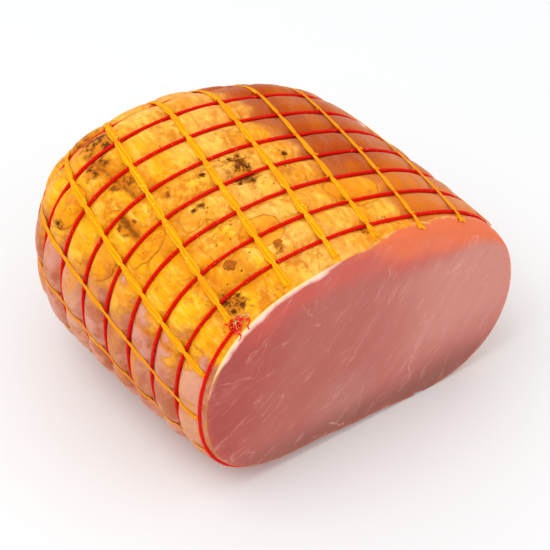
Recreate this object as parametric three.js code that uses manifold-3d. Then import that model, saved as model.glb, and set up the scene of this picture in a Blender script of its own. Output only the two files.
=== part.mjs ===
// A dry-cured pork round in an elastic net: an oval joint, cut flat at the front and rounded at the far end.
// Millimetres, +Z up. X runs across the cut face, Y from the cut face to the far end, and it lies on Z = 0.
import * as THREE from "three";
import { mergeVertices } from "three/addons/utils/BufferGeometryUtils.js";
import Module from "manifold-3d";

const wasm = await Module();
wasm.setup();

// The joint: its section is a circle of MEAN_RADIUS, pushed out and in by waves of one to six turns
const MEAN_RADIUS = 58;
const CENTRE_HEIGHT = 39;
const WAVES = [
  { cos: 0.046, sin: 0.158 },
  { cos: 0.221, sin: -0.04 },
  { cos: 0.021, sin: -0.016 },
  { cos: -0.002, sin: -0.003 },
  { cos: 0, sin: -0.013 },
  { cos: -0.015, sin: 0.003 },
];
const WIDTH_GROWTH = { linear: 0.116, square: -0.11 };
const HEIGHT_GROWTH = { linear: 0.179, square: -0.068 };
const GROWTH_LENGTH = 100;
const SIDE_DRIFT = -14.4;

// The far end: a dome that starts at DOME_START and reaches DOME_LENGTH further back
const DOME_START = 84;
const DOME_LENGTH = 53;
const DOME_REACH = 82;
const DOME_HEIGHT = 31;

// The underside slumps flat on the surface that it lies on
const SLUMP = 7;
const SLUMP_FROM = 14;
const SLUMP_BLEND = 20;

// The net: red hoops round the joint and yellow strings along it
const VISIBLE_HOOPS = 9;
const END_HOOPS = 3;
const HOOP_FIRST = -0.85;
const HOOP_PITCH = 12.39;
const HOOP_SPREAD = 0.117;
const HOOP_SKEW_X = -0.0516;
const HOOP_SKEW_Z = -0.0306;
const HOOP_RADIUS = 0.9;
const HOOP_SEGMENTS = 40;
const STRINGS = 19;
const STRING_START = 55.5;
const STRING_TWIST = 0.235;
const STRING_WANDER = { at: 3.6, by: 4, spread: 1.1 };
const STRING_WIDTH = 2.6;
const STRING_THICKNESS = 1;
const STRING_INSET = 0.8;
const STRING_END = 11.3;

// Between the cords the meat swells, most on the lower left side, and under each hoop it is drawn in
const GROOVE = 1;
const SWELL = 1;
const SIDE_SWELL = 1.2;
const SIDE_SWELL_AT = THREE.MathUtils.degToRad(205);
const SIDE_SWELL_SPREAD = THREE.MathUtils.degToRad(35);
const EDGE_BLEND = 10;
const POLE_BLEND = 30;

const GAP = 0.3;
const SLOT_GAP = 0.25;
const FLOOR_CLEAR = 0.2;
const SLOT_OUT = 6;
const STRING_LOW = FLOOR_CLEAR + STRING_THICKNESS / 2;
const HOOP_LOW = FLOOR_CLEAR + STRING_THICKNESS + GAP + HOOP_RADIUS;
const UNDERSIDE = { from: THREE.MathUtils.degToRad(216), to: THREE.MathUtils.degToRad(333) };
const UNDERSIDE_HEIGHT = 5;

// The hoop beside the cut face is cut too: it ends in a frayed tuft on the upper edge
const CUT_HOOP = { from: THREE.MathUtils.degToRad(135), to: THREE.MathUtils.degToRad(225), segments: 10 };
const CUT_HOOP_REACH = 2.4;
const CUT_HOOP_PROUD = 0.2;
const CUT_HOOP_MARGIN = 0.1;
const TUFT_ANGLE = THREE.MathUtils.degToRad(138.5);
const TUFT_STRANDS = 7;
const TUFT_SPREAD = 0.16;
const STRAND_LENGTH = { least: 2, most: 5, wave: 5 };
const STRAND_RADIUS = 0.45;
const STRAND_SIDES = 4;
const STRAND_STEPS = 4;
const TUFT_CORE = 1.5;

// Peppercorn and garlic bits pressed into the fat, in clusters at an angle in degrees and a reach
const CLUSTERS = [
  { angle: 98.3, reach: 54.7, bits: 4 },
  { angle: 101.7, reach: 47.6, bits: 3 },
  { angle: 109, reach: 54.5, bits: 1 },
  { angle: 81.2, reach: 52.2, bits: 1 },
  { angle: 119.5, reach: 48.8, bits: 1 },
  { angle: 111.9, reach: 17.1, bits: 1 },
  { angle: 127.5, reach: 19.6, bits: 1 },
  { angle: 134.5, reach: 8.4, bits: 4 },
  { angle: 151.3, reach: 85.9, bits: 1 },
];
const CLUSTER_SPREAD = 3.4;
const BIT_RADIUS = { least: 0.9, most: 1.4 };
const BIT_SUNK = 0.35;
const BIT_TURN = 3;
const BIT_TRIES = 60;

const JOINT_SEGMENTS = HOOP_SEGMENTS;
const ROWS_PER_HOOP = 3;
const ROWS_PER_END_HOOP = 2;
const ROWS_END = VISIBLE_HOOPS + END_HOOPS - 0.5;
const HALF_PITCH = 0.5;
const ROW_ROOM = 0.2;
const SWELL_NOTED = 0.1;
const DIRECTION_STEP = 0.01;
const SEED = 7;

const COLOURS = { meat: 0xc98a6a, hoop: 0xc8201a, string: 0xf0a828 };

function smoothstep(from, to, value) {
  return THREE.MathUtils.smoothstep(value, from, to);
}

// Point of the plain section at an angle, with z measured from the base
function section(angle) {
  let radius = 1;
  WAVES.forEach((wave, i) => {
    radius += wave.cos * Math.cos((i + 1) * angle) + wave.sin * Math.sin((i + 1) * angle);
  });
  radius *= MEAN_RADIUS;
  return { x: radius * Math.cos(angle), z: CENTRE_HEIGHT + radius * Math.sin(angle) };
}

// Distance along the skin from the cut face to hoop number n, counted from the cut face
function hoopReach(angle, n) {
  const { x, z } = section(angle);
  return HOOP_FIRST + n * HOOP_PITCH + n * n * HOOP_SPREAD + HOOP_SKEW_X * x + HOOP_SKEW_Z * (z - CENTRE_HEIGHT);
}

// The inverse of hoopReach: the number of hoop spacings at a reach
function hoopNumber(angle, reach) {
  const rest = reach - hoopReach(angle, 0);
  return (Math.sqrt(HOOP_PITCH ** 2 + 4 * HOOP_SPREAD * rest) - HOOP_PITCH) / (2 * HOOP_SPREAD);
}

// How far the meat swells between two hoops
function swellAt(angle) {
  const away = Math.atan2(Math.sin(angle - SIDE_SWELL_AT), Math.cos(angle - SIDE_SWELL_AT));
  return SWELL + SIDE_SWELL * Math.exp(-((away / SIDE_SWELL_SPREAD) ** 2));
}

// How far the skin stands out, or in, from the plain swept section
function relief(angle, reach) {
  const wave = (1 + Math.cos(2 * Math.PI * hoopNumber(angle, reach))) / 2;
  const swell = swellAt(angle);
  const end = DOME_START + DOME_REACH;
  const fade = smoothstep(0, EDGE_BLEND, reach) * smoothstep(0, POLE_BLEND, end - reach);
  return fade * (swell * (1 - wave) - GROOVE * wave);
}

// Point of the swept section at an angle and a reach, before relief
function plainPoint(angle, reach) {
  const { x, z } = section(angle);
  const turn = (Math.PI / 2) * THREE.MathUtils.clamp((reach - DOME_START) / DOME_REACH, 0, 1);
  const depth = Math.min(reach, DOME_START) + DOME_LENGTH * Math.sin(turn);
  const u = depth / GROWTH_LENGTH;
  const width = 1 + WIDTH_GROWTH.linear * u + WIDTH_GROWTH.square * u * u;
  const height = 1 + HEIGHT_GROWTH.linear * u + HEIGHT_GROWTH.square * u * u;
  const shrink = Math.cos(turn);
  return new THREE.Vector3(
    x * width * shrink + SIDE_DRIFT * u,
    depth,
    DOME_HEIGHT + (z * height - DOME_HEIGHT) * shrink,
  );
}

// Outward, lengthwise and sideways directions of the skin at an angle and a reach
function skinFrame(angle, reach) {
  const step = DIRECTION_STEP;
  const inside = Math.min(reach, DOME_START + DOME_REACH - 3 * step);
  const along = plainPoint(angle, inside + step).sub(plainPoint(angle, inside - step)).normalize();
  const around = plainPoint(angle + step, inside).sub(plainPoint(angle - step, inside)).normalize();
  const out = along.clone().cross(around).normalize();
  return { out, along, across: out.clone().cross(along).normalize() };
}

// Point at a distance from the swept section, which sags to lie flat on the surface under it
function offsetPoint(angle, reach, distance) {
  const point = plainPoint(angle, reach);
  const low = THREE.MathUtils.clamp(1 - point.z / SLUMP_FROM, 0, 1);
  point.z -= SLUMP * smoothstep(0, SLUMP_BLEND, reach) * low * low;
  return point.addScaledVector(skinFrame(angle, reach).out, distance);
}

// Point of the meat's skin, with its relief and its flat underside
function skinPoint(angle, reach) {
  const point = offsetPoint(angle, reach, relief(angle, reach));
  point.z = Math.max(point.z, 0);
  return point;
}

// Moves every vertex of a geometry by a function of its position
function deform(geometry, place) {
  const position = geometry.attributes.position;
  const vertex = new THREE.Vector3();
  for (let i = 0; i < position.count; i++) {
    place(vertex.fromBufferAttribute(position, i).clone(), vertex);
    position.setXYZ(i, vertex.x, vertex.y, vertex.z);
  }
  return geometry;
}

function toSolid(geometry) {
  const plain = geometry.clone();
  plain.deleteAttribute("normal");
  plain.deleteAttribute("uv");
  const merged = mergeVertices(plain, 1e-3);
  const triVerts = new Uint32Array(merged.index.array);
  const vertProperties = merged.attributes.position.array;
  return new wasm.Manifold(new wasm.Mesh({ numProp: 3, vertProperties, triVerts }));
}

function toGeometry(solid) {
  const mesh = solid.getMesh();
  const geometry = new THREE.BufferGeometry();
  geometry.setAttribute("position", new THREE.BufferAttribute(mesh.vertProperties, 3));
  geometry.setIndex(new THREE.BufferAttribute(mesh.triVerts, 1));
  geometry.computeVertexNormals();
  return geometry;
}

// Numbers of the rows of the meat's skin behind the cut face, counted in hoop spacings
function rowNumbers() {
  const numbers = [];
  const last = VISIBLE_HOOPS - 1;
  for (let i = 1; i <= last * ROWS_PER_HOOP; i++) numbers.push(i / ROWS_PER_HOOP);
  for (let i = 1; i <= (ROWS_END - last) * ROWS_PER_END_HOOP; i++) numbers.push(last + i / ROWS_PER_END_HOOP);
  return numbers;
}

// Reach of a row at an angle: rows before the second hoop part the way to it evenly
function rowReach(angle, n) {
  return n < 1 ? n * hoopReach(angle, 1) : hoopReach(angle, n);
}

function jointGeometry() {
  const rows = [0, ...rowNumbers()];
  const geometry = new THREE.CylinderGeometry(1, 1, 1, JOINT_SEGMENTS, rows.length - 1, false);
  return deform(geometry, (from, to) => {
    const row = Math.round((from.y + 0.5) * (rows.length - 1));
    const angle = Math.atan2(from.z, from.x);
    if (Math.hypot(from.x, from.z) > 0.5) to.copy(skinPoint(angle, rowReach(angle, rows[row])));
    else if (row === 0) to.set(0, 0, CENTRE_HEIGHT);
    else to.copy(plainPoint(0, DOME_START + DOME_REACH));
  });
}

// A bar of oblong section along a list of frames, each with its centre, out, along and across
function barGeometry(frames, width, inner, outer) {
  const last = frames.length - 1;
  const geometry = new THREE.BoxGeometry(width, outer - inner, last, 1, 1, last);
  return deform(geometry, (from, to) => {
    const frame = frames[Math.round(from.z + last / 2)];
    to.copy(frame.centre);
    to.addScaledVector(frame.across, from.x);
    to.addScaledVector(frame.out, from.y + (inner + outer) / 2);
  });
}

// The centre of a hoop at an angle, lifted clear of the strings that pass under it at the base
function hoopCentre(angle, reach) {
  const centre = offsetPoint(angle, reach, relief(angle, reach) + GAP + HOOP_RADIUS);
  centre.z = Math.max(centre.z, HOOP_LOW);
  return centre;
}

function hoopGeometry(n) {
  const geometry = new THREE.TorusGeometry(2, 1, 4, HOOP_SEGMENTS);
  return deform(geometry, (from, to) => {
    const angle = Math.atan2(from.y, from.x);
    const reach = hoopReach(angle, n);
    const frame = skinFrame(angle, reach);
    to.copy(hoopCentre(angle, reach));
    to.addScaledVector(frame.out, HOOP_RADIUS * (Math.hypot(from.x, from.y) - 2));
    to.addScaledVector(frame.along, -HOOP_RADIUS * from.z);
  });
}

// Frames along part of a hoop, whose reach is a function of the angle
function hoopFrames(reachAt, from, to, segments) {
  const frames = [];
  for (let i = 0; i <= segments; i++) {
    const angle = THREE.MathUtils.lerp(from, to, i / segments);
    const { out, along } = skinFrame(angle, reachAt(angle));
    frames.push({ centre: hoopCentre(angle, reachAt(angle)), out, across: along.clone() });
  }
  return frames;
}

// Lengths along the section's outline from angle 0, at every LENGTH_STEPS-th of a turn
const LENGTH_STEPS = 720;
const lengths = [0];
for (let i = 1; i <= LENGTH_STEPS; i++) {
  const a = section(((i - 1) / LENGTH_STEPS) * 2 * Math.PI);
  const b = section((i / LENGTH_STEPS) * 2 * Math.PI);
  lengths.push(lengths[i - 1] + Math.hypot(b.x - a.x, b.z - a.z));
}
const PERIMETER = lengths[LENGTH_STEPS];

// The angle at a length along the outline, which may pass its start
function angleAt(length) {
  const within = THREE.MathUtils.euclideanModulo(length, PERIMETER);
  const i = Math.max(lengths.findIndex((each) => each > within), 1);
  const part = (within - lengths[i - 1]) / (lengths[i] - lengths[i - 1]);
  return ((i - 1 + part) / LENGTH_STEPS) * 2 * Math.PI;
}

// Length along the outline at which string number k lies at a reach
function stringLength(k, reach) {
  const wander = STRING_WANDER.by * Math.exp(-(((k - STRING_WANDER.at) / STRING_WANDER.spread) ** 2));
  return STRING_START + (k * PERIMETER) / STRINGS - wander - STRING_TWIST * reach;
}

// Where string number k crosses the row with number n
function stringCrossing(k, n) {
  let reach = n * HOOP_PITCH;
  for (let i = 0; i < 5; i++) reach = hoopReach(angleAt(stringLength(k, reach)), n);
  return { angle: angleAt(stringLength(k, reach)), reach };
}

// Numbers of a string's rows: at every hoop, and halfway between where the meat swells or bends away
function stringNumbers(k) {
  const start = angleAt(stringLength(k, 0));
  const besideTuft = Math.abs(start - TUFT_ANGLE) < TUFT_SPREAD;
  const besideHoop = start > CUT_HOOP.from - CUT_HOOP_MARGIN && start < CUT_HOOP.to + CUT_HOOP_MARGIN;
  const pastHoop = CUT_HOOP_REACH + HOOP_RADIUS + 2 * GAP;
  const first = besideTuft ? pastHoop + TUFT_CORE : besideHoop ? pastHoop : STRING_INSET;
  const numbers = [hoopNumber(start, first)];
  for (let n = HALF_PITCH; n < STRING_END - ROW_ROOM; n += HALF_PITCH) {
    const swells = swellAt(stringCrossing(k, n).angle) > SWELL + SWELL_NOTED;
    const bends = n < 1 || n > VISIBLE_HOOPS - 2 || swells;
    if (n > numbers[0] + ROW_ROOM && (Number.isInteger(n) || bends)) numbers.push(n);
  }
  return [...numbers, STRING_END];
}

function stringFrames(k) {
  return stringNumbers(k).map((n) => {
    const { angle, reach } = stringCrossing(k, n);
    const crossed = stringCrossing(k, Math.max(Math.round(n), 1));
    const overHoop = n < HALF_PITCH ? 0 : relief(crossed.angle, crossed.reach) + 2 * GAP + 2 * HOOP_RADIUS;
    const overMeat = relief(angle, reach) + GAP;
    const frame = skinFrame(angle, reach);
    const centre = offsetPoint(angle, reach, Math.max(overHoop, overMeat) + STRING_THICKNESS / 2);
    centre.z = Math.max(centre.z, STRING_LOW);
    return { ...frame, centre };
  });
}

function stringGeometry(k) {
  const half = STRING_THICKNESS / 2;
  const geometry = barGeometry(stringFrames(k), STRING_WIDTH, -half, half);
  return deform(geometry, (from, to) => to.setZ(Math.max(from.z, FLOOR_CLEAR)));
}

// Slots under the base that take the hoops and the strings, so that the meat itself rests on the surface
function slotGeometries() {
  const slots = [];
  const { from, to } = UNDERSIDE;
  const segments = Math.round(((to - from) / (2 * Math.PI)) * JOINT_SEGMENTS);
  const hoopWidth = 2 * (HOOP_RADIUS + SLOT_GAP);
  for (let n = 1; n < VISIBLE_HOOPS; n++) {
    const frames = hoopFrames((angle) => hoopReach(angle, n), to, from, segments);
    slots.push(barGeometry(frames, hoopWidth, -hoopWidth / 2, SLOT_OUT));
  }
  for (let k = 0; k < STRINGS; k++) {
    const frames = stringFrames(k);
    const low = frames.map((frame) => frame.centre.z < UNDERSIDE_HEIGHT);
    const near = frames.filter((frame, i) => low[i] || low[i - 1] || low[i + 1]);
    if (!near.length) continue;
    const inner = -STRING_THICKNESS / 2 - SLOT_GAP;
    slots.push(barGeometry(near, STRING_WIDTH + 2 * SLOT_GAP, inner, SLOT_OUT));
  }
  return slots;
}

// A repeatable random number from 0 to 1
function makeRandom(seed) {
  let state = seed;
  return () => {
    state = (state * 16807) % 2147483647;
    return state / 2147483647;
  };
}

// Whether a spot on the skin is clear of every hoop and string by a distance
function isClear(angle, reach, distance) {
  const n = hoopNumber(angle, reach);
  const toHoop = Math.abs(n - Math.round(n)) * HOOP_PITCH - HOOP_RADIUS;
  if (toHoop < distance || reach < STRING_INSET + distance) return false;
  for (let k = 0; k < STRINGS; k++) {
    const near = angleAt(stringLength(k, reach));
    if (plainPoint(near, reach).distanceTo(plainPoint(angle, reach)) < distance + STRING_WIDTH / 2) return false;
  }
  return true;
}

// Peppercorn and garlic bits, each sunk a little into the skin
function bitGeometries() {
  const random = makeRandom(SEED);
  const bits = [];
  for (const cluster of CLUSTERS) {
    let left = cluster.bits;
    for (let tries = 0; left && tries < BIT_TRIES; tries++) {
      const radius = THREE.MathUtils.lerp(BIT_RADIUS.least, BIT_RADIUS.most, random());
      const spread = cluster.bits > 1 || tries ? CLUSTER_SPREAD : 0;
      const reach = cluster.reach + spread * (2 * random() - 1);
      const angle = THREE.MathUtils.degToRad(cluster.angle) + (spread / MEAN_RADIUS) * (2 * random() - 1);
      const spot = offsetPoint(angle, reach, relief(angle, reach) - BIT_SUNK * radius);
      const crowded = bits.some((bit) => bit.spot.distanceTo(spot) < bit.radius + radius);
      if (crowded || !isClear(angle, reach, radius + GAP)) continue;
      const shape = new THREE.IcosahedronGeometry(radius, 0);
      shape.rotateX(BIT_TURN * random()).rotateY(BIT_TURN * random()).translate(spot.x, spot.y, spot.z);
      bits.push({ spot, radius, shape });
      left -= 1;
    }
  }
  return bits.map((bit) => bit.shape);
}

function meatGeometry() {
  let solid = toSolid(jointGeometry());
  for (const slot of slotGeometries()) solid = solid.subtract(toSolid(slot));
  for (const bit of bitGeometries()) solid = solid.add(toSolid(bit));
  return toGeometry(solid);
}

// One curled filament of the tuft, from its core outwards over the skin
function strandGeometry(centre, frame, turn, length) {
  const way = frame.across.clone().multiplyScalar(Math.cos(turn)).addScaledVector(frame.along, Math.sin(turn));
  const middle = centre.clone().addScaledVector(way, length / 2).addScaledVector(frame.out, STRAND_RADIUS);
  const end = centre.clone().addScaledVector(way, length).addScaledVector(frame.out, -STRAND_RADIUS / 2);
  const path = new THREE.CatmullRomCurve3([centre, middle, end]);
  const outline = new THREE.Shape();
  for (let i = 0; i < STRAND_SIDES; i++) {
    const angle = (i / STRAND_SIDES) * 2 * Math.PI;
    const x = STRAND_RADIUS * Math.cos(angle);
    const y = STRAND_RADIUS * Math.sin(angle);
    if (i) outline.lineTo(x, y);
    else outline.moveTo(x, y);
  }
  return new THREE.ExtrudeGeometry(outline, { extrudePath: path, steps: STRAND_STEPS });
}

// The cut hoop on the left of the cut face, with its frayed tuft
function cutHoopGeometry() {
  const { from, to, segments } = CUT_HOOP;
  const frames = hoopFrames(() => CUT_HOOP_REACH, to, from, segments);
  for (const frame of frames) frame.centre.addScaledVector(frame.out, CUT_HOOP_PROUD);
  let solid = toSolid(barGeometry(frames, 2 * HOOP_RADIUS, -HOOP_RADIUS, HOOP_RADIUS));
  const frame = skinFrame(TUFT_ANGLE, CUT_HOOP_REACH);
  const centre = offsetPoint(TUFT_ANGLE, CUT_HOOP_REACH, GAP + CUT_HOOP_PROUD + TUFT_CORE);
  const core = new THREE.IcosahedronGeometry(TUFT_CORE, 0).translate(centre.x, centre.y, centre.z);
  solid = solid.add(toSolid(core));
  for (let i = 0; i < TUFT_STRANDS; i++) {
    const turn = Math.PI * (1 + i / (TUFT_STRANDS - 1));
    const share = (1 + Math.cos(STRAND_LENGTH.wave * i)) / 2;
    const length = THREE.MathUtils.lerp(STRAND_LENGTH.least, STRAND_LENGTH.most, share);
    solid = solid.add(toSolid(strandGeometry(centre, frame, turn, length)));
  }
  return toGeometry(solid);
}

function addNode(group, name, geometry, material) {
  const mesh = new THREE.Mesh(geometry, material);
  mesh.name = name;
  group.add(mesh);
}

function buildRound() {
  const group = new THREE.Group();
  const meat = new THREE.MeshStandardMaterial({ color: COLOURS.meat, roughness: 0.4, metalness: 0 });
  const red = new THREE.MeshStandardMaterial({ color: COLOURS.hoop, roughness: 0.5, metalness: 0 });
  const yellow = new THREE.MeshStandardMaterial({ color: COLOURS.string, roughness: 0.6, metalness: 0 });
  addNode(group, "meat", meatGeometry(), meat);
  addNode(group, "red_hoop_01", cutHoopGeometry(), red);
  for (let n = 1; n < VISIBLE_HOOPS + END_HOOPS; n++) {
    addNode(group, "red_hoop_" + String(n + 1).padStart(2, "0"), hoopGeometry(n), red);
  }
  for (let k = 0; k < STRINGS; k++) {
    addNode(group, "yellow_string_" + String(k + 1).padStart(2, "0"), stringGeometry(k), yellow);
  }
  return group;
}

const group = buildRound();
const box = new THREE.Box3().setFromObject(group);
const middle = box.getCenter(new THREE.Vector3());
group.position.set(-middle.x, -middle.y, 0);

export default group;
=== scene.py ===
"""A dry-cured garlic pork round in a red and yellow elastic net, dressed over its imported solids."""
import itertools
import logging
import math
from dataclasses import dataclass, field
from enum import Enum

import bpy
import numpy as np
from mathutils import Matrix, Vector


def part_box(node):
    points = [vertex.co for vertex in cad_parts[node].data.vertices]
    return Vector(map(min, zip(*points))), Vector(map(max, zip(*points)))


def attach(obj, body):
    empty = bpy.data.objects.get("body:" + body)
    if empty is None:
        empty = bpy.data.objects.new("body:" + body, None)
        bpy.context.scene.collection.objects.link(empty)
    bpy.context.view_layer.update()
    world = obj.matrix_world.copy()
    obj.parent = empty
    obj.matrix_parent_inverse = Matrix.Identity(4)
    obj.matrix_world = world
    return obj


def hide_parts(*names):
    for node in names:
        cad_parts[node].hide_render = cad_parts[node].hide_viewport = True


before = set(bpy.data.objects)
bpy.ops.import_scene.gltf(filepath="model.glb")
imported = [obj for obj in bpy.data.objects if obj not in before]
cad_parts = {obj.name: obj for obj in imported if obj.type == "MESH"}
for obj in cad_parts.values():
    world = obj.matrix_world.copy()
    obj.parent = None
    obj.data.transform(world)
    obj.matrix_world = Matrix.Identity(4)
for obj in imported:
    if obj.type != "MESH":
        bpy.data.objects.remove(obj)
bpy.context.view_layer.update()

LOG = logging.getLogger("pork_round")
MM = 0.001
BODY = "root"
TURN = 2 * math.pi
CLEAR = (0.0, 0.0, 0.0, 1.0)


def smoothstep(low: float, high: float, value: np.ndarray) -> np.ndarray:
    """Smooth rise from 0 at low to 1 at high, or a fall where low is the larger."""
    part = np.clip((value - low) / (high - low), 0, 1)
    return part * part * (3 - 2 * part)


def colour(red: int, green: int, blue: int) -> tuple[float, float, float, float]:
    """Linear colour of a screen colour given from 0 to 255."""
    screen = (channel / 255 for channel in (red, green, blue))
    linear = (c / 12.92 if c <= 0.04045 else ((c + 0.055) / 1.055) ** 2.4 for c in screen)
    return (*linear, 1.0)


def soft_noise(points: np.ndarray, size: float, seed: int) -> np.ndarray:
    """Smooth noise from -1 to 1.

    Args:
        points: Places in millimetres, with x, y and z last.
        size: Width of a lump in millimetres.
        seed: Number that picks the pattern.

    Returns:
        One value for each place.
    """
    grid = points / size
    base = np.floor(grid).astype(np.int64)
    part = grid - base
    part = part * part * (3 - 2 * part)
    total = np.zeros(points.shape[:-1])
    for corner in itertools.product((0, 1), repeat=3):
        node = base + corner
        key = node[..., 0] * 73856093 ^ node[..., 1] * 19349663 ^ node[..., 2] * 83492791 ^ seed * 40503
        key = ((key ^ (key >> 13)) * 1274126177) & 0x7FFFFFFF
        value = ((key ^ (key >> 16)) & 0xFFFF) / 0x7FFF - 1
        total += np.prod(np.where(corner, part, 1 - part), axis=-1) * value
    return total


@dataclass(frozen=True)
class Outline:
    """The section of the round: a circle pushed in and out by waves of one to six turns, in millimetres."""

    mean_radius: float = 58.0
    centre_height: float = 39.0
    cos_waves: tuple = (0.046, 0.221, 0.021, -0.002, 0.0, -0.015)
    sin_waves: tuple = (0.158, -0.04, -0.016, -0.003, -0.013, 0.003)
    steps: int = 720

    def point(self, angle: np.ndarray) -> tuple[np.ndarray, np.ndarray]:
        """Width and height of the outline at an angle."""
        radius = np.ones_like(angle)
        for turns, (cos, sin) in enumerate(zip(self.cos_waves, self.sin_waves), 1):
            radius = radius + cos * np.cos(turns * angle) + sin * np.sin(turns * angle)
        radius = radius * self.mean_radius
        return radius * np.cos(angle), self.centre_height + radius * np.sin(angle)

    def lengths(self) -> np.ndarray:
        """Length along the outline from angle 0 to each of its steps."""
        x, z = self.point(np.linspace(0, TURN, self.steps + 1))
        return np.concatenate([[0], np.cumsum(np.hypot(np.diff(x), np.diff(z)))])

    def perimeter(self) -> float:
        """Length once round."""
        return float(self.lengths()[-1])

    def angle_at(self, length: np.ndarray) -> np.ndarray:
        """Angle at a length along the outline, which may pass its start."""
        lengths = self.lengths()
        return np.interp(np.mod(length, lengths[-1]), lengths, np.linspace(0, TURN, self.steps + 1))

    def length_at(self, angle: np.ndarray) -> np.ndarray:
        """Length along the outline at an angle."""
        return np.interp(np.mod(angle, TURN), np.linspace(0, TURN, self.steps + 1), self.lengths())


@dataclass(frozen=True)
class Form:
    """The joint's own surface, by angle round the section and reach along the skin, in millimetres."""

    outline: Outline = Outline()
    width_growth: tuple = (0.116, -0.11)
    height_growth: tuple = (0.179, -0.068)
    growth_length: float = 100.0
    side_drift: float = -14.4
    dome_start: float = 84.0
    dome_length: float = 53.0
    dome_reach: float = 82.0
    dome_height: float = 31.0
    slump: float = 7.0
    slump_from: float = 14.0
    slump_blend: float = 20.0
    shift: tuple = (3.347, -68.746, 0.0)
    step: float = 0.01

    @property
    def end(self) -> float:
        """Reach of the pole of the far end."""
        return self.dome_start + self.dome_reach

    def plain(self, angle: np.ndarray, reach: np.ndarray) -> np.ndarray:
        """Point of the swept section, before it sags."""
        angle, reach = np.broadcast_arrays(np.asarray(angle, float), np.asarray(reach, float))
        x, z = self.outline.point(angle)
        turn = math.pi / 2 * np.clip((reach - self.dome_start) / self.dome_reach, 0, 1)
        depth = np.minimum(reach, self.dome_start) + self.dome_length * np.sin(turn)
        u = depth / self.growth_length
        width = 1 + self.width_growth[0] * u + self.width_growth[1] * u * u
        height = 1 + self.height_growth[0] * u + self.height_growth[1] * u * u
        shrink = np.cos(turn)
        across = x * width * shrink + self.side_drift * u
        up = self.dome_height + (z * height - self.dome_height) * shrink
        return np.stack([across, depth, up], axis=-1)

    def directions(self, angle: np.ndarray, reach: np.ndarray) -> tuple[np.ndarray, ...]:
        """Outward, lengthwise and sideways directions of the skin."""
        inside = np.minimum(reach, self.end - 3 * self.step)
        along = self.plain(angle, inside + self.step) - self.plain(angle, inside - self.step)
        around = self.plain(angle + self.step, inside) - self.plain(angle - self.step, inside)
        along = along / np.linalg.norm(along, axis=-1, keepdims=True)
        out = np.cross(along, around)
        out = out / np.linalg.norm(out, axis=-1, keepdims=True)
        return out, along, np.cross(out, along)

    def offset(self, angle: np.ndarray, reach: np.ndarray, distance: np.ndarray) -> np.ndarray:
        """Point at a distance out from the swept section, sagging at the base, in the part's own place."""
        point = self.plain(angle, reach)
        low = np.clip(1 - point[..., 2] / self.slump_from, 0, 1)
        point[..., 2] -= self.slump * smoothstep(0, self.slump_blend, np.asarray(reach, float)) * low * low
        out = self.directions(angle, reach)[0]
        return point + out * np.asarray(distance)[..., None] + np.array(self.shift)


@dataclass(frozen=True)
class Net:
    """Where the net's hoops and strings run over the form, in millimetres."""

    form: Form = Form()
    hoops: int = 12
    hoop_first: float = -0.85
    hoop_pitch: float = 12.39
    hoop_spread: float = 0.117
    hoop_skew_x: float = -0.0516
    hoop_skew_z: float = -0.0306
    hoop_radius: float = 0.9
    strings: int = 19
    string_start: float = 55.5
    string_twist: float = 0.235
    string_end: float = 11.3
    wander_at: float = 3.6
    wander_by: float = 4.0
    wander_spread: float = 1.1
    crossing_rounds: int = 6

    def hoop_reach(self, angle: np.ndarray, n: np.ndarray) -> np.ndarray:
        """Reach of hoop number n at an angle."""
        x, z = self.form.outline.point(angle)
        skew = self.hoop_skew_x * x + self.hoop_skew_z * (z - self.form.outline.centre_height)
        return self.hoop_first + n * self.hoop_pitch + n * n * self.hoop_spread + skew

    def hoop_number(self, angle: np.ndarray, reach: np.ndarray) -> np.ndarray:
        """Number of hoop spacings at a reach."""
        rest = reach - self.hoop_reach(angle, 0)
        root = np.sqrt(self.hoop_pitch**2 + 4 * self.hoop_spread * rest)
        return (root - self.hoop_pitch) / (2 * self.hoop_spread)

    def to_hoop(self, angle: np.ndarray, reach: np.ndarray) -> np.ndarray:
        """Distance to the nearest hoop."""
        n = self.hoop_number(angle, reach)
        near = np.maximum(np.round(n), 1)
        return np.abs(reach - self.hoop_reach(angle, near))

    def string_length(self, k: np.ndarray, reach: np.ndarray) -> np.ndarray:
        """Length along the outline at which string number k lies."""
        wander = self.wander_by * np.exp(-(((k - self.wander_at) / self.wander_spread) ** 2))
        spacing = self.form.outline.perimeter() / self.strings
        return self.string_start + k * spacing - wander - self.string_twist * reach

    def to_string(self, angle: np.ndarray, reach: np.ndarray) -> np.ndarray:
        """Distance to the nearest string."""
        perimeter = self.form.outline.perimeter()
        length = self.form.outline.length_at(angle)
        nearest = np.full(np.shape(length), perimeter)
        for k in range(self.strings):
            away = np.mod(length - self.string_length(k, reach) + perimeter / 2, perimeter) - perimeter / 2
            nearest = np.minimum(nearest, np.abs(away))
        return nearest

    def crossing(self, k: int, n: np.ndarray) -> tuple[np.ndarray, np.ndarray]:
        """Angle and reach at which string number k crosses the row with number n."""
        reach = n * self.hoop_pitch
        for _ in range(self.crossing_rounds):
            angle = self.form.outline.angle_at(self.string_length(k, reach))
            reach = self.hoop_reach(angle, n)
        return self.form.outline.angle_at(self.string_length(k, reach)), reach


@dataclass(frozen=True)
class Flap:
    """A raised patch of fat, by its middle, its half sizes and its height."""

    angle: float
    reach: float
    half_angle: float
    half_reach: float
    height: float


@dataclass(frozen=True)
class Fold:
    """A crease between two places of the skin, each an angle in degrees and a reach."""

    start: tuple
    end: tuple
    width: float
    depth: float


@dataclass(frozen=True)
class Spot:
    """A soft round area of the skin with a strength, such as a stain or a cluster of spice."""

    angle: float
    reach: float
    radius: float
    strength: float


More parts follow.
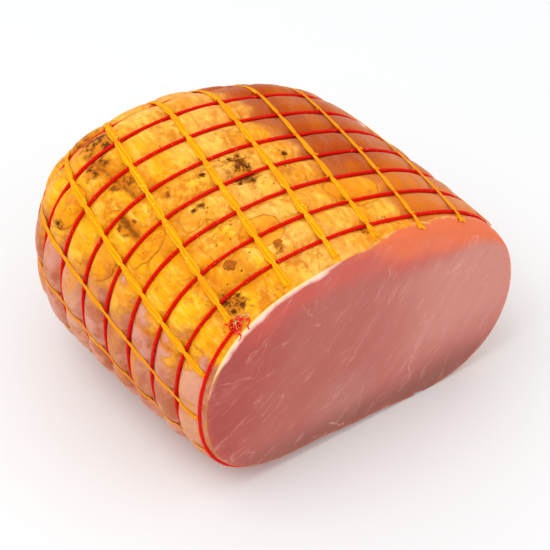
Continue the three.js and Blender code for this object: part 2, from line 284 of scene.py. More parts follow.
FLAPS = (
    Flap(139.5, 47.5, 7.0, 5.2, 0.55),
    Flap(151.0, 60.0, 6.0, 5.5, 0.4),
    Flap(146.0, 86.0, 7.0, 6.0, 0.4),
    Flap(72.0, 26.0, 10.5, 9.0, 0.35),
    Flap(112.0, 24.0, 7.5, 6.5, 0.25),
    Flap(164.0, 8.0, 6.0, 5.0, 0.5),
    Flap(166.0, 75.0, 5.0, 5.0, 0.45),
)
FOLDS = (
    Fold((131.5, 92.0), (130.5, 66.0), 1.1, 0.7),
    Fold((137.5, 64.0), (138.5, 54.0), 1.5, 0.9),
    Fold((124.5, 64.0), (124.0, 50.0), 0.7, 0.3),
    Fold((159.0, 40.0), (157.0, 12.0), 1.2, 0.5),
    Fold((62.5, 33.0), (61.0, 12.0), 0.8, 0.4),
)
STAINS = (
    Spot(131.0, 90.0, 6.0, 0.8),
    Spot(126.5, 99.0, 7.0, 0.9),
    Spot(130.4, 72.0, 4.0, 0.9),
    Spot(138.0, 59.0, 3.2, 1.0),
    Spot(124.3, 58.0, 2.2, 0.7),
    Spot(112.5, 18.0, 2.2, 0.8),
    Spot(151.3, 86.0, 1.8, 1.0),
    Spot(84.0, 6.0, 4.0, 0.8),
    Spot(76.0, 20.0, 3.0, 0.5),
    Spot(136.0, 9.0, 4.5, 0.7),
    Spot(101.0, 51.0, 9.0, 0.55),
    Spot(86.0, 44.0, 8.0, 0.35),
    Spot(120.0, 40.0, 9.0, 0.3),
    Spot(128.0, 108.0, 9.0, 0.7),
    Spot(212.0, 60.0, 7.0, 0.5),
    Spot(206.0, 25.0, 6.0, 0.5),
    Spot(95.0, 72.0, 2.5, 0.5),
    Spot(98.3, 54.7, 3.6, 0.7),
    Spot(101.7, 47.6, 4.2, 0.75),
    Spot(119.5, 48.8, 2.2, 0.6),
    Spot(134.5, 8.4, 4.5, 0.8),
)
SPICED = (
    Spot(98.3, 54.7, 5.0, 1.0),
    Spot(101.7, 47.6, 5.0, 1.0),
    Spot(84.0, 51.0, 4.0, 0.8),
    Spot(119.5, 48.8, 3.0, 0.8),
    Spot(134.5, 8.4, 4.5, 1.0),
    Spot(129.0, 62.0, 5.0, 0.5),
    Spot(124.0, 30.0, 9.0, 0.35),
    Spot(90.0, 36.0, 9.0, 0.3),
    Spot(133.0, 80.0, 8.0, 0.4),
    Spot(108.0, 38.0, 12.0, 0.3),
    Spot(120.0, 15.0, 9.0, 0.25),
)


@dataclass(frozen=True)
class Skin:
    """The meat's skin with its pillows, creases and rounded edge, in millimetres."""

    net: Net = Net()
    groove: float = 1.05
    groove_width: float = 2.4
    swell: float = 1.15
    side_swell: float = 0.9
    flat_side_at: float = math.radians(25)
    string_press: float = 0.38
    side_swell_at: float = math.radians(205)
    side_swell_spread: float = math.radians(35)
    pillow: float = 0.45
    pillow_width: float = 3.2
    lumps: tuple = ((16.0, 0.45), (6.0, 0.16), (2.6, 0.06))
    edge_blend: float = 9.0
    pole_blend: float = 30.0
    edge_sharp: float = 0.7
    edge_round: float = 3.8
    hoop_slot: float = 3.6
    string_slot: float = 1.5
    slot_edge: float = 0.4

    def spots(self, angle: np.ndarray, reach: np.ndarray, spots: tuple) -> np.ndarray:
        """Strength of a set of spots at each place, from 0 to 1."""
        total = np.zeros(np.broadcast(angle, reach).shape)
        for spot in spots:
            across = (angle - math.radians(spot.angle)) * self.net.form.outline.mean_radius
            away = (across**2 + (reach - spot.reach) ** 2) / spot.radius**2
            total = np.maximum(total, spot.strength * np.exp(-away))
        return total

    def rounding(self, angle: np.ndarray) -> np.ndarray:
        """Radius of the rounded edge of the cut face, larger at the top right."""
        degrees = np.degrees(np.mod(angle, TURN))
        return self.edge_sharp + self.edge_round * smoothstep(14, 40, degrees) * smoothstep(92, 66, degrees)

    def edge_drop(self, angle: np.ndarray, reach: np.ndarray) -> np.ndarray:
        """How far the rounded edge falls in from the skin."""
        radius = self.rounding(angle)
        left = np.clip(radius - reach, 0, radius)
        return radius - np.sqrt(np.maximum(radius**2 - left**2, 0))

    def crease(self, angle: np.ndarray, reach: np.ndarray) -> np.ndarray:
        """Depth of the creases at each place."""
        depth = np.zeros(np.broadcast(angle, reach).shape)
        arc = self.net.form.outline.mean_radius
        for fold in FOLDS:
            start = np.array([math.radians(fold.start[0]) * arc, fold.start[1]])
            way = np.array([math.radians(fold.end[0]) * arc, fold.end[1]]) - start
            across, lengthwise = angle * arc - start[0], reach - start[1]
            share = np.clip((across * way[0] + lengthwise * way[1]) / (way @ way), 0, 1)
            away = np.hypot(across - share * way[0], lengthwise - share * way[1])
            depth = np.maximum(depth, fold.depth * np.exp(-((away / fold.width) ** 2)))
        return depth

    def flaps(self, angle: np.ndarray, reach: np.ndarray) -> np.ndarray:
        """Height of the raised patches of fat at each place, and how near their rims are."""
        height = np.zeros(np.broadcast(angle, reach).shape)
        for flap in FLAPS:
            across = (angle - math.radians(flap.angle)) / math.radians(flap.half_angle)
            size = np.hypot(across, (reach - flap.reach) / flap.half_reach)
            height = np.maximum(height, flap.height * smoothstep(1.06, 0.86, size))
        return height

    def flap_field(self, angle: np.ndarray, reach: np.ndarray) -> np.ndarray:
        """How far each place is inside a raised patch, 0 at its rim and below nothing outside."""
        field = np.full(np.broadcast(angle, reach).shape, -1.0)
        for flap in FLAPS:
            across = (angle - math.radians(flap.angle)) / math.radians(flap.half_angle)
            size = np.hypot(across, (reach - flap.reach) / flap.half_reach)
            field = np.maximum(field, 1 - size)
        return field

    def relief(self, angle: np.ndarray, reach: np.ndarray) -> np.ndarray:
        """How far the skin stands out from the swept section, apart from its rounded edge."""
        net, form = self.net, self.net.form
        angle, reach = np.broadcast_arrays(np.asarray(angle, float), np.asarray(reach, float))
        fade = smoothstep(0, self.edge_blend, reach) * smoothstep(0, self.pole_blend, form.end - reach)
        away = np.arctan2(np.sin(angle - self.side_swell_at), np.cos(angle - self.side_swell_at))
        top = self.swell * (1 - 0.5 * smoothstep(0.85, 0.97, np.cos(angle - self.flat_side_at)))
        top = top + self.side_swell * np.exp(-((away / self.side_swell_spread) ** 2))
        to_hoop = net.to_hoop(angle, reach)
        to_string = net.to_string(angle, reach)
        rise = 1 - np.exp(-((to_hoop / self.groove_width) ** 2))
        free = 1 - np.exp(-((to_string / self.pillow_width) ** 2))
        plain = form.plain(angle, reach)
        lump = sum(size * soft_noise(plain, width, 3) for width, size in self.lumps)
        detail = lump + self.flaps(angle, reach) - self.crease(angle, reach)
        pillow = top * (1 - self.string_press * (1 - free)) + self.pillow * free + detail * (0.35 + 0.65 * free)
        return fade * (-self.groove + (self.groove + pillow) * rise)

    def point(self, angle: np.ndarray, reach: np.ndarray) -> np.ndarray:
        """Point of the skin, flat where it lies on the floor and slotted for the cords under the base."""
        net = self.net
        point = net.form.offset(angle, reach, self.relief(angle, reach) - self.edge_drop(angle, reach))
        to_hoop = net.to_hoop(angle, reach) + smoothstep(8, 5, reach) * net.hoop_pitch
        hoop = self.hoop_slot * smoothstep(net.hoop_radius + 2 * self.slot_edge, net.hoop_radius, to_hoop)
        string = self.string_slot * smoothstep(1.3 + 2 * self.slot_edge, 1.3, net.to_string(angle, reach))
        point[..., 2] = np.maximum(point[..., 2], np.maximum(hoop, string))
        return point


class Nodes:
    """Short ways to add, feed and link the nodes of one tree."""

    def __init__(self, tree: bpy.types.NodeTree) -> None:
        """Keeps the tree that the nodes go in."""
        self.tree = tree

    def feed(self, socket: bpy.types.NodeSocket, value: object) -> None:
        """Links a socket to another, or sets its value."""
        if isinstance(value, bpy.types.NodeSocket):
            self.tree.links.new(value, socket)
        else:
            socket.default_value = value

    def add(self, kind: str, inputs: dict | None = None, **settings: object) -> bpy.types.Node:
        """Adds a node.

        Args:
            kind: Blender's name for the kind of node.
            inputs: Value or socket for each input, by name or number.
            **settings: The node's own settings.

        Returns:
            The new node.
        """
        node = self.tree.nodes.new(kind)
        for name, value in settings.items():
            setattr(node, name, value)
        for key, value in (inputs or {}).items():
            self.feed(node.inputs[key], value)
        return node

    def math(self, operation: str, *values: object) -> bpy.types.NodeSocket:
        """Result of a calculation on numbers."""
        return self.add("ShaderNodeMath", dict(enumerate(values)), operation=operation).outputs[0]

    def vector(self, operation: str, *values: object) -> bpy.types.NodeSocket:
        """Result of a calculation on vectors."""
        node = self.add("ShaderNodeVectorMath", dict(enumerate(values)), operation=operation)
        is_number = operation in {"LENGTH", "DISTANCE", "DOT_PRODUCT"}
        return node.outputs["Value" if is_number else "Vector"]

    def scaled(self, vector: object, scale: object) -> bpy.types.NodeSocket:
        """A vector times a number."""
        inputs = {0: vector, "Scale": scale}
        return self.add("ShaderNodeVectorMath", inputs, operation="SCALE").outputs["Vector"]

    def rise(self, value: object, low: float, high: float, top: float = 1.0) -> bpy.types.NodeSocket:
        """A value mapped smoothly to 0 at low and to top at high."""
        inputs = {"Value": value, "From Min": low, "From Max": high, "To Max": top}
        return self.add("ShaderNodeMapRange", inputs, interpolation_type="SMOOTHSTEP").outputs["Result"]

    def mix(self, factor: object, first: object, second: object, blend: str = "MIX") -> bpy.types.NodeSocket:
        """One colour laid over another."""
        inputs = {0: factor, 6: first, 7: second}
        return self.add("ShaderNodeMix", inputs, data_type="RGBA", blend_type=blend).outputs[2]

    def times(self, first: object, *others: object) -> bpy.types.NodeSocket:
        """Product of numbers."""
        for other in others:
            first = self.math("MULTIPLY", first, other)
        return first

    def attribute(self, name: str) -> bpy.types.NodeSocket:
        """A mask that the piece's mesh carries."""
        return self.add("ShaderNodeAttribute", attribute_name=name).outputs["Fac"]

    def place(self) -> bpy.types.NodeSocket:
        """Object coordinates."""
        return self.add("ShaderNodeTexCoord").outputs["Object"]

    def group(self, tree: bpy.types.NodeTree, output: str, **inputs: object) -> bpy.types.NodeSocket:
        """One output of a shader node group placed in this tree."""
        node = self.add("ShaderNodeGroup", node_tree=tree)
        for name, value in inputs.items():
            self.feed(node.inputs[name.replace("_", " ").title()], value)
        return node.outputs[output]


def new_tree(name: str, kind: str, inputs: list, outputs: list) -> tuple[Nodes, dict, bpy.types.Node]:
    """Starts a node group with named inputs and outputs.

    Args:
        name: The group's name.
        kind: Shader or geometry tree, in Blender's words.
        inputs: Name, socket type and first value of each input.
        outputs: Name and socket type of each output.

    Returns:
        The tree's nodes, its input sockets by name, and its output node.
    """
    tree = bpy.data.node_groups.new(name, kind)
    for label, socket_type, value in inputs:
        socket = tree.interface.new_socket(label, in_out="INPUT", socket_type=socket_type)
        if value is not None:
            socket.default_value = value
    for label, socket_type in outputs:
        tree.interface.new_socket(label, in_out="OUTPUT", socket_type=socket_type)
    nodes = Nodes(tree)
    entry = nodes.add("NodeGroupInput")
    return nodes, {label: entry.outputs[label] for label, _, _ in inputs}, nodes.add("NodeGroupOutput")


class Effects:
    """Shader groups for the effects that several materials share."""

    def __init__(self) -> None:
        """Builds each group once."""
        self.fleck = self.build_fleck()
        self.fibre = self.build_fibre()
        self.thread = self.build_thread()
        self.vein = self.build_vein()
        self.slab = self.build_slab()

    def soft(
        self, nodes: Nodes, place: object, scale: float, low: float, high: float, stretch: tuple = (1.0, 1.0, 1.0)
    ) -> bpy.types.NodeSocket:
        """The fibre effect placed in a tree: soft patches, or streaks where it is stretched."""
        return nodes.group(self.fibre, "Value", vector=place, stretch=stretch, scale=scale, low=low, high=high)

    def build_fleck(self) -> bpy.types.NodeTree:
        """Round flecks of mixed sizes, such as ground pepper."""
        inputs = [("Vector", "NodeSocketVector", None), ("Scale", "NodeSocketFloat", 500.0)]
        inputs += [("Share", "NodeSocketFloat", 0.3), ("Size", "NodeSocketFloat", 0.3)]
        nodes, given, end = new_tree("fleck", "ShaderNodeTree", inputs, [("Mask", "NodeSocketFloat")])
        scaled = nodes.scaled(given["Vector"], given["Scale"])
        bend = nodes.add("ShaderNodeTexNoise", {"Vector": scaled, "Scale": 3.0, "Detail": 1.0}).outputs["Color"]
        cells = nodes.add("ShaderNodeTexVoronoi", {"Vector": nodes.vector("ADD", scaled, nodes.scaled(bend, 0.5)), "Scale": 1.0})
        chance = nodes.add("ShaderNodeSeparateColor", {"Color": cells.outputs["Color"]})
        over = nodes.math("SUBTRACT", chance.outputs["Red"], nodes.math("SUBTRACT", 1.0, given["Share"]))
        size = nodes.math("MULTIPLY", nodes.math("DIVIDE", nodes.math("MAXIMUM", over, 0.0), given["Share"]), given["Size"])
        inside = nodes.math("SUBTRACT", size, cells.outputs["Distance"])
        nodes.feed(end.inputs["Mask"], nodes.rise(inside, 0.0, 0.08))
        return nodes.tree

    def build_fibre(self) -> bpy.types.NodeTree:
        """Noise stretched along a direction, such as streaks in fat or the grain of meat."""
        inputs = [("Vector", "NodeSocketVector", None), ("Stretch", "NodeSocketVector", (1.0, 1.0, 1.0))]
        inputs += [("Scale", "NodeSocketFloat", 100.0), ("Low", "NodeSocketFloat", 0.35), ("High", "NodeSocketFloat", 0.65)]
        nodes, given, end = new_tree("fibre", "ShaderNodeTree", inputs, [("Value", "NodeSocketFloat")])
        stretched = nodes.vector("MULTIPLY", given["Vector"], given["Stretch"])
        inputs = {"Vector": stretched, "Scale": given["Scale"], "Detail": 4.0, "Roughness": 0.6}
        value = nodes.add("ShaderNodeTexNoise", inputs).outputs["Fac"]
        nodes.feed(end.inputs["Value"], nodes.rise(value, given["Low"], given["High"]))
        return nodes.tree

    def build_thread(self) -> bpy.types.NodeTree:
        """Fine broken lines where two soft fields are level, such as marbling or crackle."""
        inputs = [("Vector", "NodeSocketVector", None), ("Scale", "NodeSocketFloat", 60.0)]
        inputs += [("Width", "NodeSocketFloat", 0.04), ("Warp", "NodeSocketFloat", 0.3), ("Gaps", "NodeSocketFloat", 0.5)]
        nodes, given, end = new_tree("thread", "ShaderNodeTree", inputs, [("Mask", "NodeSocketFloat")])
        scaled = nodes.scaled(given["Vector"], given["Scale"])
        bend = nodes.add("ShaderNodeTexNoise", {"Vector": scaled, "Scale": 1.6, "Detail": 3.0}).outputs["Color"]
        warped = nodes.vector("ADD", scaled, nodes.scaled(bend, given["Warp"]))
        cells = nodes.add("ShaderNodeTexVoronoi", {"Vector": warped, "Scale": 1.0}, feature="DISTANCE_TO_EDGE")
        line = nodes.math("SUBTRACT", 1.0, nodes.math("DIVIDE", cells.outputs["Distance"], given["Width"]))
        line = nodes.math("MAXIMUM", line, 0.0)
        patch = nodes.add("ShaderNodeTexNoise", {"Vector": scaled, "Scale": 0.9, "Detail": 2.0}).outputs["Fac"]
        kept = nodes.rise(nodes.math("SUBTRACT", patch, given["Gaps"]), 0.0, 0.1)
        nodes.feed(end.inputs["Mask"], nodes.math("MULTIPLY", line, kept))
        return nodes.tree

    def build_slab(self) -> bpy.types.NodeTree:
        """Overlapping slabs drawn out along the joint: a tone for each, and its darker edge."""
        inputs = [("Vector", "NodeSocketVector", None), ("Scale", "NodeSocketFloat", 60.0)]
        outputs = [("Tone", "NodeSocketFloat"), ("Edge", "NodeSocketFloat")]
        nodes, given, end = new_tree("slab", "ShaderNodeTree", inputs, outputs)
        scaled = nodes.scaled(nodes.vector("MULTIPLY", given["Vector"], (1.0, 0.5, 1.0)), given["Scale"])
        bend = nodes.add("ShaderNodeTexNoise", {"Vector": scaled, "Scale": 1.5, "Detail": 3.0}).outputs["Color"]
        warped = nodes.vector("ADD", scaled, nodes.scaled(bend, 0.7))
        cells = nodes.add("ShaderNodeTexVoronoi", {"Vector": warped, "Scale": 1.0})
        tone = nodes.add("ShaderNodeSeparateColor", {"Color": cells.outputs["Color"]}).outputs["Red"]
        edges = nodes.add("ShaderNodeTexVoronoi", {"Vector": warped, "Scale": 1.0}, feature="DISTANCE_TO_EDGE")
        nodes.feed(end.inputs["Tone"], tone)
        nodes.feed(end.inputs["Edge"], nodes.rise(edges.outputs["Distance"], 0.035, 0.0))
        return nodes.tree

    def build_vein(self) -> bpy.types.NodeTree:
        """A soft line between two places, such as a seam between muscles."""
        inputs = [("Vector", "NodeSocketVector", None), ("Start", "NodeSocketVector", None)]
        inputs += [("End", "NodeSocketVector", None), ("Width", "NodeSocketFloat", 0.001)]
        nodes, given, end = new_tree("vein", "ShaderNodeTree", inputs, [("Mask", "NodeSocketFloat")])
        way = nodes.vector("SUBTRACT", given["End"], given["Start"])
        rel = nodes.vector("SUBTRACT", given["Vector"], given["Start"])
        share = nodes.math("DIVIDE", nodes.vector("DOT_PRODUCT", rel, way), nodes.vector("DOT_PRODUCT", way, way))
        share = nodes.add("ShaderNodeClamp", {"Value": share}).outputs["Result"]
        away = nodes.vector("DISTANCE", rel, nodes.scaled(way, share))
        mask = nodes.rise(nodes.math("DIVIDE", away, given["Width"]), 1.0, 0.2)
        nodes.feed(end.inputs["Mask"], mask)
        return nodes.tree


def start_material(name: str) -> tuple[bpy.types.Material, Nodes, bpy.types.Node]:
    """An empty material with its Principled BSDF linked to the output."""
    material = bpy.data.materials.new(name)
    material.use_nodes = True
    material.node_tree.nodes.clear()
    nodes = Nodes(material.node_tree)
    shader = nodes.add("ShaderNodeBsdfPrincipled")
    output = nodes.add("ShaderNodeOutputMaterial", {"Surface": shader.outputs["BSDF"]})
    output.location = (300, 0)
    return material, nodes, shader


@dataclass(frozen=True)
class SkinFinish:
    """The cured skin: golden fat in slabs, brown lean, pink flanks, stains, creases and ground spice."""

    pale: tuple = colour(252, 206, 78)
    yellow: tuple = colour(255, 198, 22)
    honey: tuple = colour(250, 158, 0)
    blush: tuple = colour(252, 184, 92)
    tan: tuple = colour(240, 152, 36)
    lean: tuple = colour(184, 74, 3)
    lean_back: tuple = colour(172, 78, 28)
    mauve: tuple = colour(196, 108, 46)
    warm: tuple = colour(232, 126, 6)
    peach: tuple = colour(226, 138, 76)
    flank: tuple = colour(218, 148, 127)
    tongue: tuple = colour(232, 148, 44)
    brown: tuple = colour(194, 108, 72)
    flank_light: tuple = colour(229, 168, 124)
    band: tuple = colour(232, 116, 74)
    shore: tuple = colour(222, 140, 62)
    fringe: tuple = colour(248, 190, 116)
    flush: tuple = colour(206, 92, 68)
    line: tuple = colour(186, 98, 4)
    amber: tuple = colour(214, 118, 2)
    stain: tuple = colour(104, 50, 4)
    halo: tuple = colour(172, 98, 16)
    cream: tuple = colour(255, 216, 102)
    pepper: tuple = colour(58, 28, 4)
    roughness: float = 0.4
    softness: float = 0.1

    def fat(self, nodes: Nodes, effects: Effects, place: object) -> bpy.types.NodeSocket:
        """Colour of the fat: slabs of yellow, honey and blush with their soft patches."""
        deep = nodes.attribute("deep")
        pale = nodes.mix(0.3, self.pale, self.blush)
        base = nodes.mix(deep, pale, nodes.mix(0.5, self.yellow, self.honey))
        base = nodes.mix(nodes.attribute("tan"), base, self.tan)
        tone = nodes.group(effects.slab, "Tone", vector=place, scale=70.0)
        base = nodes.mix(nodes.rise(tone, 0.42, 0.32, 0.6), base, self.honey)
        clear = nodes.math("SUBTRACT", 0.65, nodes.math("MULTIPLY", deep, 0.35))
        base = nodes.mix(nodes.times(nodes.rise(tone, 0.64, 0.74), clear), base, self.blush)
        blotch = effects.soft(nodes, place, 80.0, 0.42, 0.62, (1.0, 0.7, 1.0))
        base = nodes.mix(nodes.times(blotch, 0.4), base, self.honey)
        patch = effects.soft(nodes, place, 105.0, 0.5, 0.64, (1.0, 0.6, 1.0))
        base = nodes.mix(nodes.times(patch, 0.55), base, nodes.mix(deep, self.pale, self.yellow))
        fine = effects.soft(nodes, place, 560.0, 0.47, 0.68, (1.0, 0.13, 1.0))
        base = nodes.mix(nodes.times(fine, 0.5), base, self.cream)
        mottle = effects.soft(nodes, place, 330.0, 0.5, 0.66, (1.0, 0.6, 1.0))
        base = nodes.mix(nodes.times(mottle, 0.34), base, self.amber)
        smoked = nodes.times(nodes.attribute("smoked"), effects.soft(nodes, place, 90.0, 0.38, 0.6), 0.7)
        return nodes.mix(smoked, base, self.amber)

    def dark_meat(self, nodes: Nodes, effects: Effects, place: object) -> bpy.types.NodeSocket:
        """Colour of the brown lean on the right: each swell is warmer at its front."""
        base = nodes.mix(nodes.rise(nodes.attribute("row"), 0.1, 0.75), self.lean, self.lean_back)
        base = nodes.mix(nodes.attribute("warm"), base, self.warm)
        base = nodes.mix(nodes.rise(nodes.attribute("right"), 0.45, 0.08, 0.55), base, self.mauve)
        outer = nodes.attribute("peach")
        base = nodes.mix(outer, base, self.peach)
        dark = effects.soft(nodes, place, 62.0, 0.46, 0.6, (1.0, 0.7, 1.0))
        base = nodes.mix(nodes.times(dark, outer, 0.7), base, self.brown)
        light = effects.soft(nodes, place, 75.0, 0.5, 0.66, (1.0, 1.0, 0.6))
        base = nodes.mix(nodes.times(light, outer, 0.6), base, self.flank_light)
        soft = effects.soft(nodes, place, 90.0, 0.45, 0.7, (1.0, 0.4, 1.0))
        return nodes.mix(nodes.times(soft, 0.3), base, self.warm)

    def side(self, nodes: Nodes, effects: Effects, place: object) -> bpy.types.NodeSocket:
        """Colour of the flank: pink with brown patches and golden tongues below the fat."""
        base = nodes.mix(nodes.attribute("brown"), self.flank, self.brown)
        base = nodes.mix(effects.soft(nodes, place, 62.0, 0.48, 0.6, (1.0, 0.7, 1.0)), base, self.brown)
        light = effects.soft(nodes, place, 70.0, 0.5, 0.66, (1.0, 1.0, 0.6))
        base = nodes.mix(nodes.times(light, 0.6), base, self.flank_light)
        tongue = effects.soft(nodes, place, 85.0, 0.5, 0.6, (1.0, 1.0, 0.45))
        base = nodes.mix(nodes.times(tongue, nodes.attribute("upper"), 0.7), base, self.tongue)
        return nodes.mix(nodes.attribute("flush"), base, self.flush)

    def build(self, effects: Effects) -> bpy.types.Material:
        """Makes the material from the fields and masks that the mesh carries."""
        material, nodes, shader = start_material("cured_skin")
        place = nodes.place()
        wobble = nodes.add("ShaderNodeTexNoise", {"Vector": place, "Scale": 105.0, "Detail": 4.0}).outputs["Fac"]
        wobble = nodes.math("SUBTRACT", wobble, 0.5)
        grit = nodes.add("ShaderNodeTexNoise", {"Vector": place, "Scale": 460.0, "Detail": 3.0}).outputs["Fac"]
        grit = nodes.math("SUBTRACT", grit, 0.5)
        left = nodes.math("ADD", nodes.attribute("left"), nodes.times(wobble, 1.5))
        right = nodes.math("ADD", nodes.attribute("right"), nodes.times(wobble, 0.8))
        on_flank, on_lean = nodes.rise(left, -0.08, 0.08), nodes.rise(right, -0.2, 0.1)
        fat = nodes.math("SUBTRACT", 1.0, nodes.math("MAXIMUM", on_flank, on_lean))
        base = nodes.mix(on_lean, self.fat(nodes, effects, place), self.dark_meat(nodes, effects, place))
        base = nodes.mix(on_flank, base, self.side(nodes, effects, place))
        flap = nodes.math("ADD", nodes.attribute("flap"), nodes.times(wobble, 0.9))
        base = nodes.mix(nodes.times(nodes.rise(flap, -0.02, 0.03), fat, 0.75), base, self.honey)
        near = nodes.rise(nodes.math("ABSOLUTE", nodes.math("ADD", left, 0.06)), 0.16, 0.04, 0.45)
        base = nodes.mix(near, base, self.shore)
        streak = effects.soft(nodes, place, 270.0, 0.45, 0.72, (1.0, 0.22, 1.0))
        base = nodes.mix(nodes.times(streak, 0.42), base, nodes.mix(fat, self.brown, self.amber))
        seam = nodes.group(effects.slab, "Edge", vector=place, scale=70.0)
        broken = effects.soft(nodes, place, 130.0, 0.42, 0.62)
        rim = nodes.times(nodes.rise(nodes.math("ABSOLUTE", flap), 0.08, 0.0), nodes.math("ADD", nodes.times(broken, 0.5), 0.5))
        shore = nodes.rise(nodes.math("ABSOLUTE", left), 0.09, 0.0, 0.35)
        crackle = nodes.group(effects.thread, "Mask", vector=place, scale=120.0, width=0.03, warp=0.9, gaps=0.55)
        lines = nodes.math("MAXIMUM", nodes.times(nodes.math("MAXIMUM", nodes.times(seam, broken, 0.6), rim), fat), shore)
        lines = nodes.math("MAXIMUM", lines, nodes.times(crackle, fat, 0.3))
        base = nodes.mix(nodes.times(lines, 0.85), base, self.line)
        grime = effects.soft(nodes, place, 420.0, 0.42, 0.62)
        smoke = nodes.times(effects.soft(nodes, place, 55.0, 0.46, 0.6), fat)
        base = nodes.mix(nodes.times(smoke, grime, 0.75), base, self.amber)
        # darker amber laid on the fat beside the strings
        string_side_darkening = nodes.times(nodes.attribute("by_cord"), effects.soft(nodes, place, 160.0, 0.44, 0.6), fat)
        base = nodes.mix(nodes.times(string_side_darkening, 0.6), base, self.amber)
        stain = nodes.math("ADD", nodes.attribute("stain"), nodes.times(wobble, 0.9))
        stain = nodes.rise(stain, 0.22, 0.66)
        base = nodes.mix(nodes.times(stain, 0.75), base, self.amber)
        base = nodes.mix(nodes.times(stain, grime), base, self.stain)
        # painted shade in the creases: the deeper the crease, the more amber and then stain brown is laid over it
        crease = nodes.math("ADD", nodes.attribute("crease"), nodes.times(wobble, 0.6))
        crease = nodes.math("ADD", crease, nodes.times(grit, 1.2))
        base = nodes.mix(nodes.rise(crease, 0.1, 0.55, 0.75), base, self.amber)
        base = nodes.mix(nodes.rise(crease, 0.5, 1.1, 0.75), base, self.stain)
        halo = nodes.math("ADD", nodes.attribute("halo"), nodes.times(grit, 2.2))
        base = nodes.mix(nodes.rise(halo, 0.3, 0.8, 0.75), base, self.halo)
        base = nodes.mix(nodes.rise(halo, 0.85, 1.3, 0.8), base, self.stain)
        torn = nodes.math("ADD", nodes.attribute("band"), nodes.times(wobble, 0.5))
        torn = nodes.math("ADD", torn, nodes.times(grit, 0.3))
        base = nodes.mix(nodes.times(nodes.rise(torn, 0.0, 0.06), broken, 0.9), base, self.fringe)
        base = nodes.mix(nodes.rise(torn, 0.07, 0.22), base, self.band)
        spice = nodes.math("MAXIMUM", nodes.attribute("spice"), nodes.times(nodes.math("MAXIMUM", smoke, string_side_darkening), 0.35))
        fine = nodes.group(effects.fleck, "Mask", vector=place, scale=760.0, share=0.3, size=0.34)
        coarse = nodes.group(effects.fleck, "Mask", vector=place, scale=390.0, share=0.2, size=0.15)
        dots = nodes.math("MAXIMUM", nodes.times(fine, nodes.rise(spice, 0.05, 0.6)), coarse)
        dots = nodes.times(dots, nodes.math("ADD", nodes.times(fat, 0.5), 0.3))
        base = nodes.mix(dots, base, self.pepper)
        nodes.feed(shader.inputs["Base Color"], base)
        rough = nodes.math("ADD", nodes.times(stain, 0.2), self.roughness)
        nodes.feed(shader.inputs["Roughness"], rough)
        shader.inputs["Subsurface Weight"].default_value = self.softness
        shader.inputs["Subsurface Radius"].default_value = (1.0, 0.4, 0.1)
        shader.inputs["Subsurface Scale"].default_value = 0.002
        shader.inputs["Specular IOR Level"].default_value = 0.1
        height = nodes.math("SUBTRACT", nodes.times(streak, 0.5), lines)
        height = nodes.math("ADD", height, nodes.times(grime, 0.4))
        bump = nodes.add("ShaderNodeBump", {"Strength": 0.6, "Distance": 0.0005, "Height": height})
        nodes.feed(shader.inputs["Normal"], bump.outputs["Normal"])
        return material


@dataclass(frozen=True)
class Seam:
    """A pale seam on the cut face between two places, each its width and height there, in millimetres."""

    start: tuple
    end: tuple
    width: float
    strength: float


SEAMS = (
    Seam((27.5, 29.0), (25.0, 20.0), 1.1, 0.75),
    Seam((25.0, 20.0), (26.5, 14.0), 1.3, 0.6),
    Seam((26.5, 14.0), (21.0, 8.0), 0.9, 0.5),
    Seam((27.5, 29.0), (36.0, 42.0), 0.7, 0.35),
    Seam((-12.0, 11.0), (-6.0, 5.5), 1.1, 0.9),
    Seam((-5.0, 38.0), (8.0, 59.0), 0.7, 0.45),
    Seam((-11.0, 64.0), (-5.0, 71.0), 0.8, 0.45),
    Seam((-25.0, 81.0), (-22.0, 73.0), 0.8, 0.45),
    Seam((-60.0, 61.0), (-45.0, 56.0), 0.6, 0.45),
    Seam((-45.0, 56.0), (-42.0, 62.0), 0.6, 0.35),
    Seam((3.0, 22.0), (1.0, 12.0), 0.8, 0.35),
    Seam((46.0, 16.0), (44.0, 11.0), 0.7, 0.4),
)


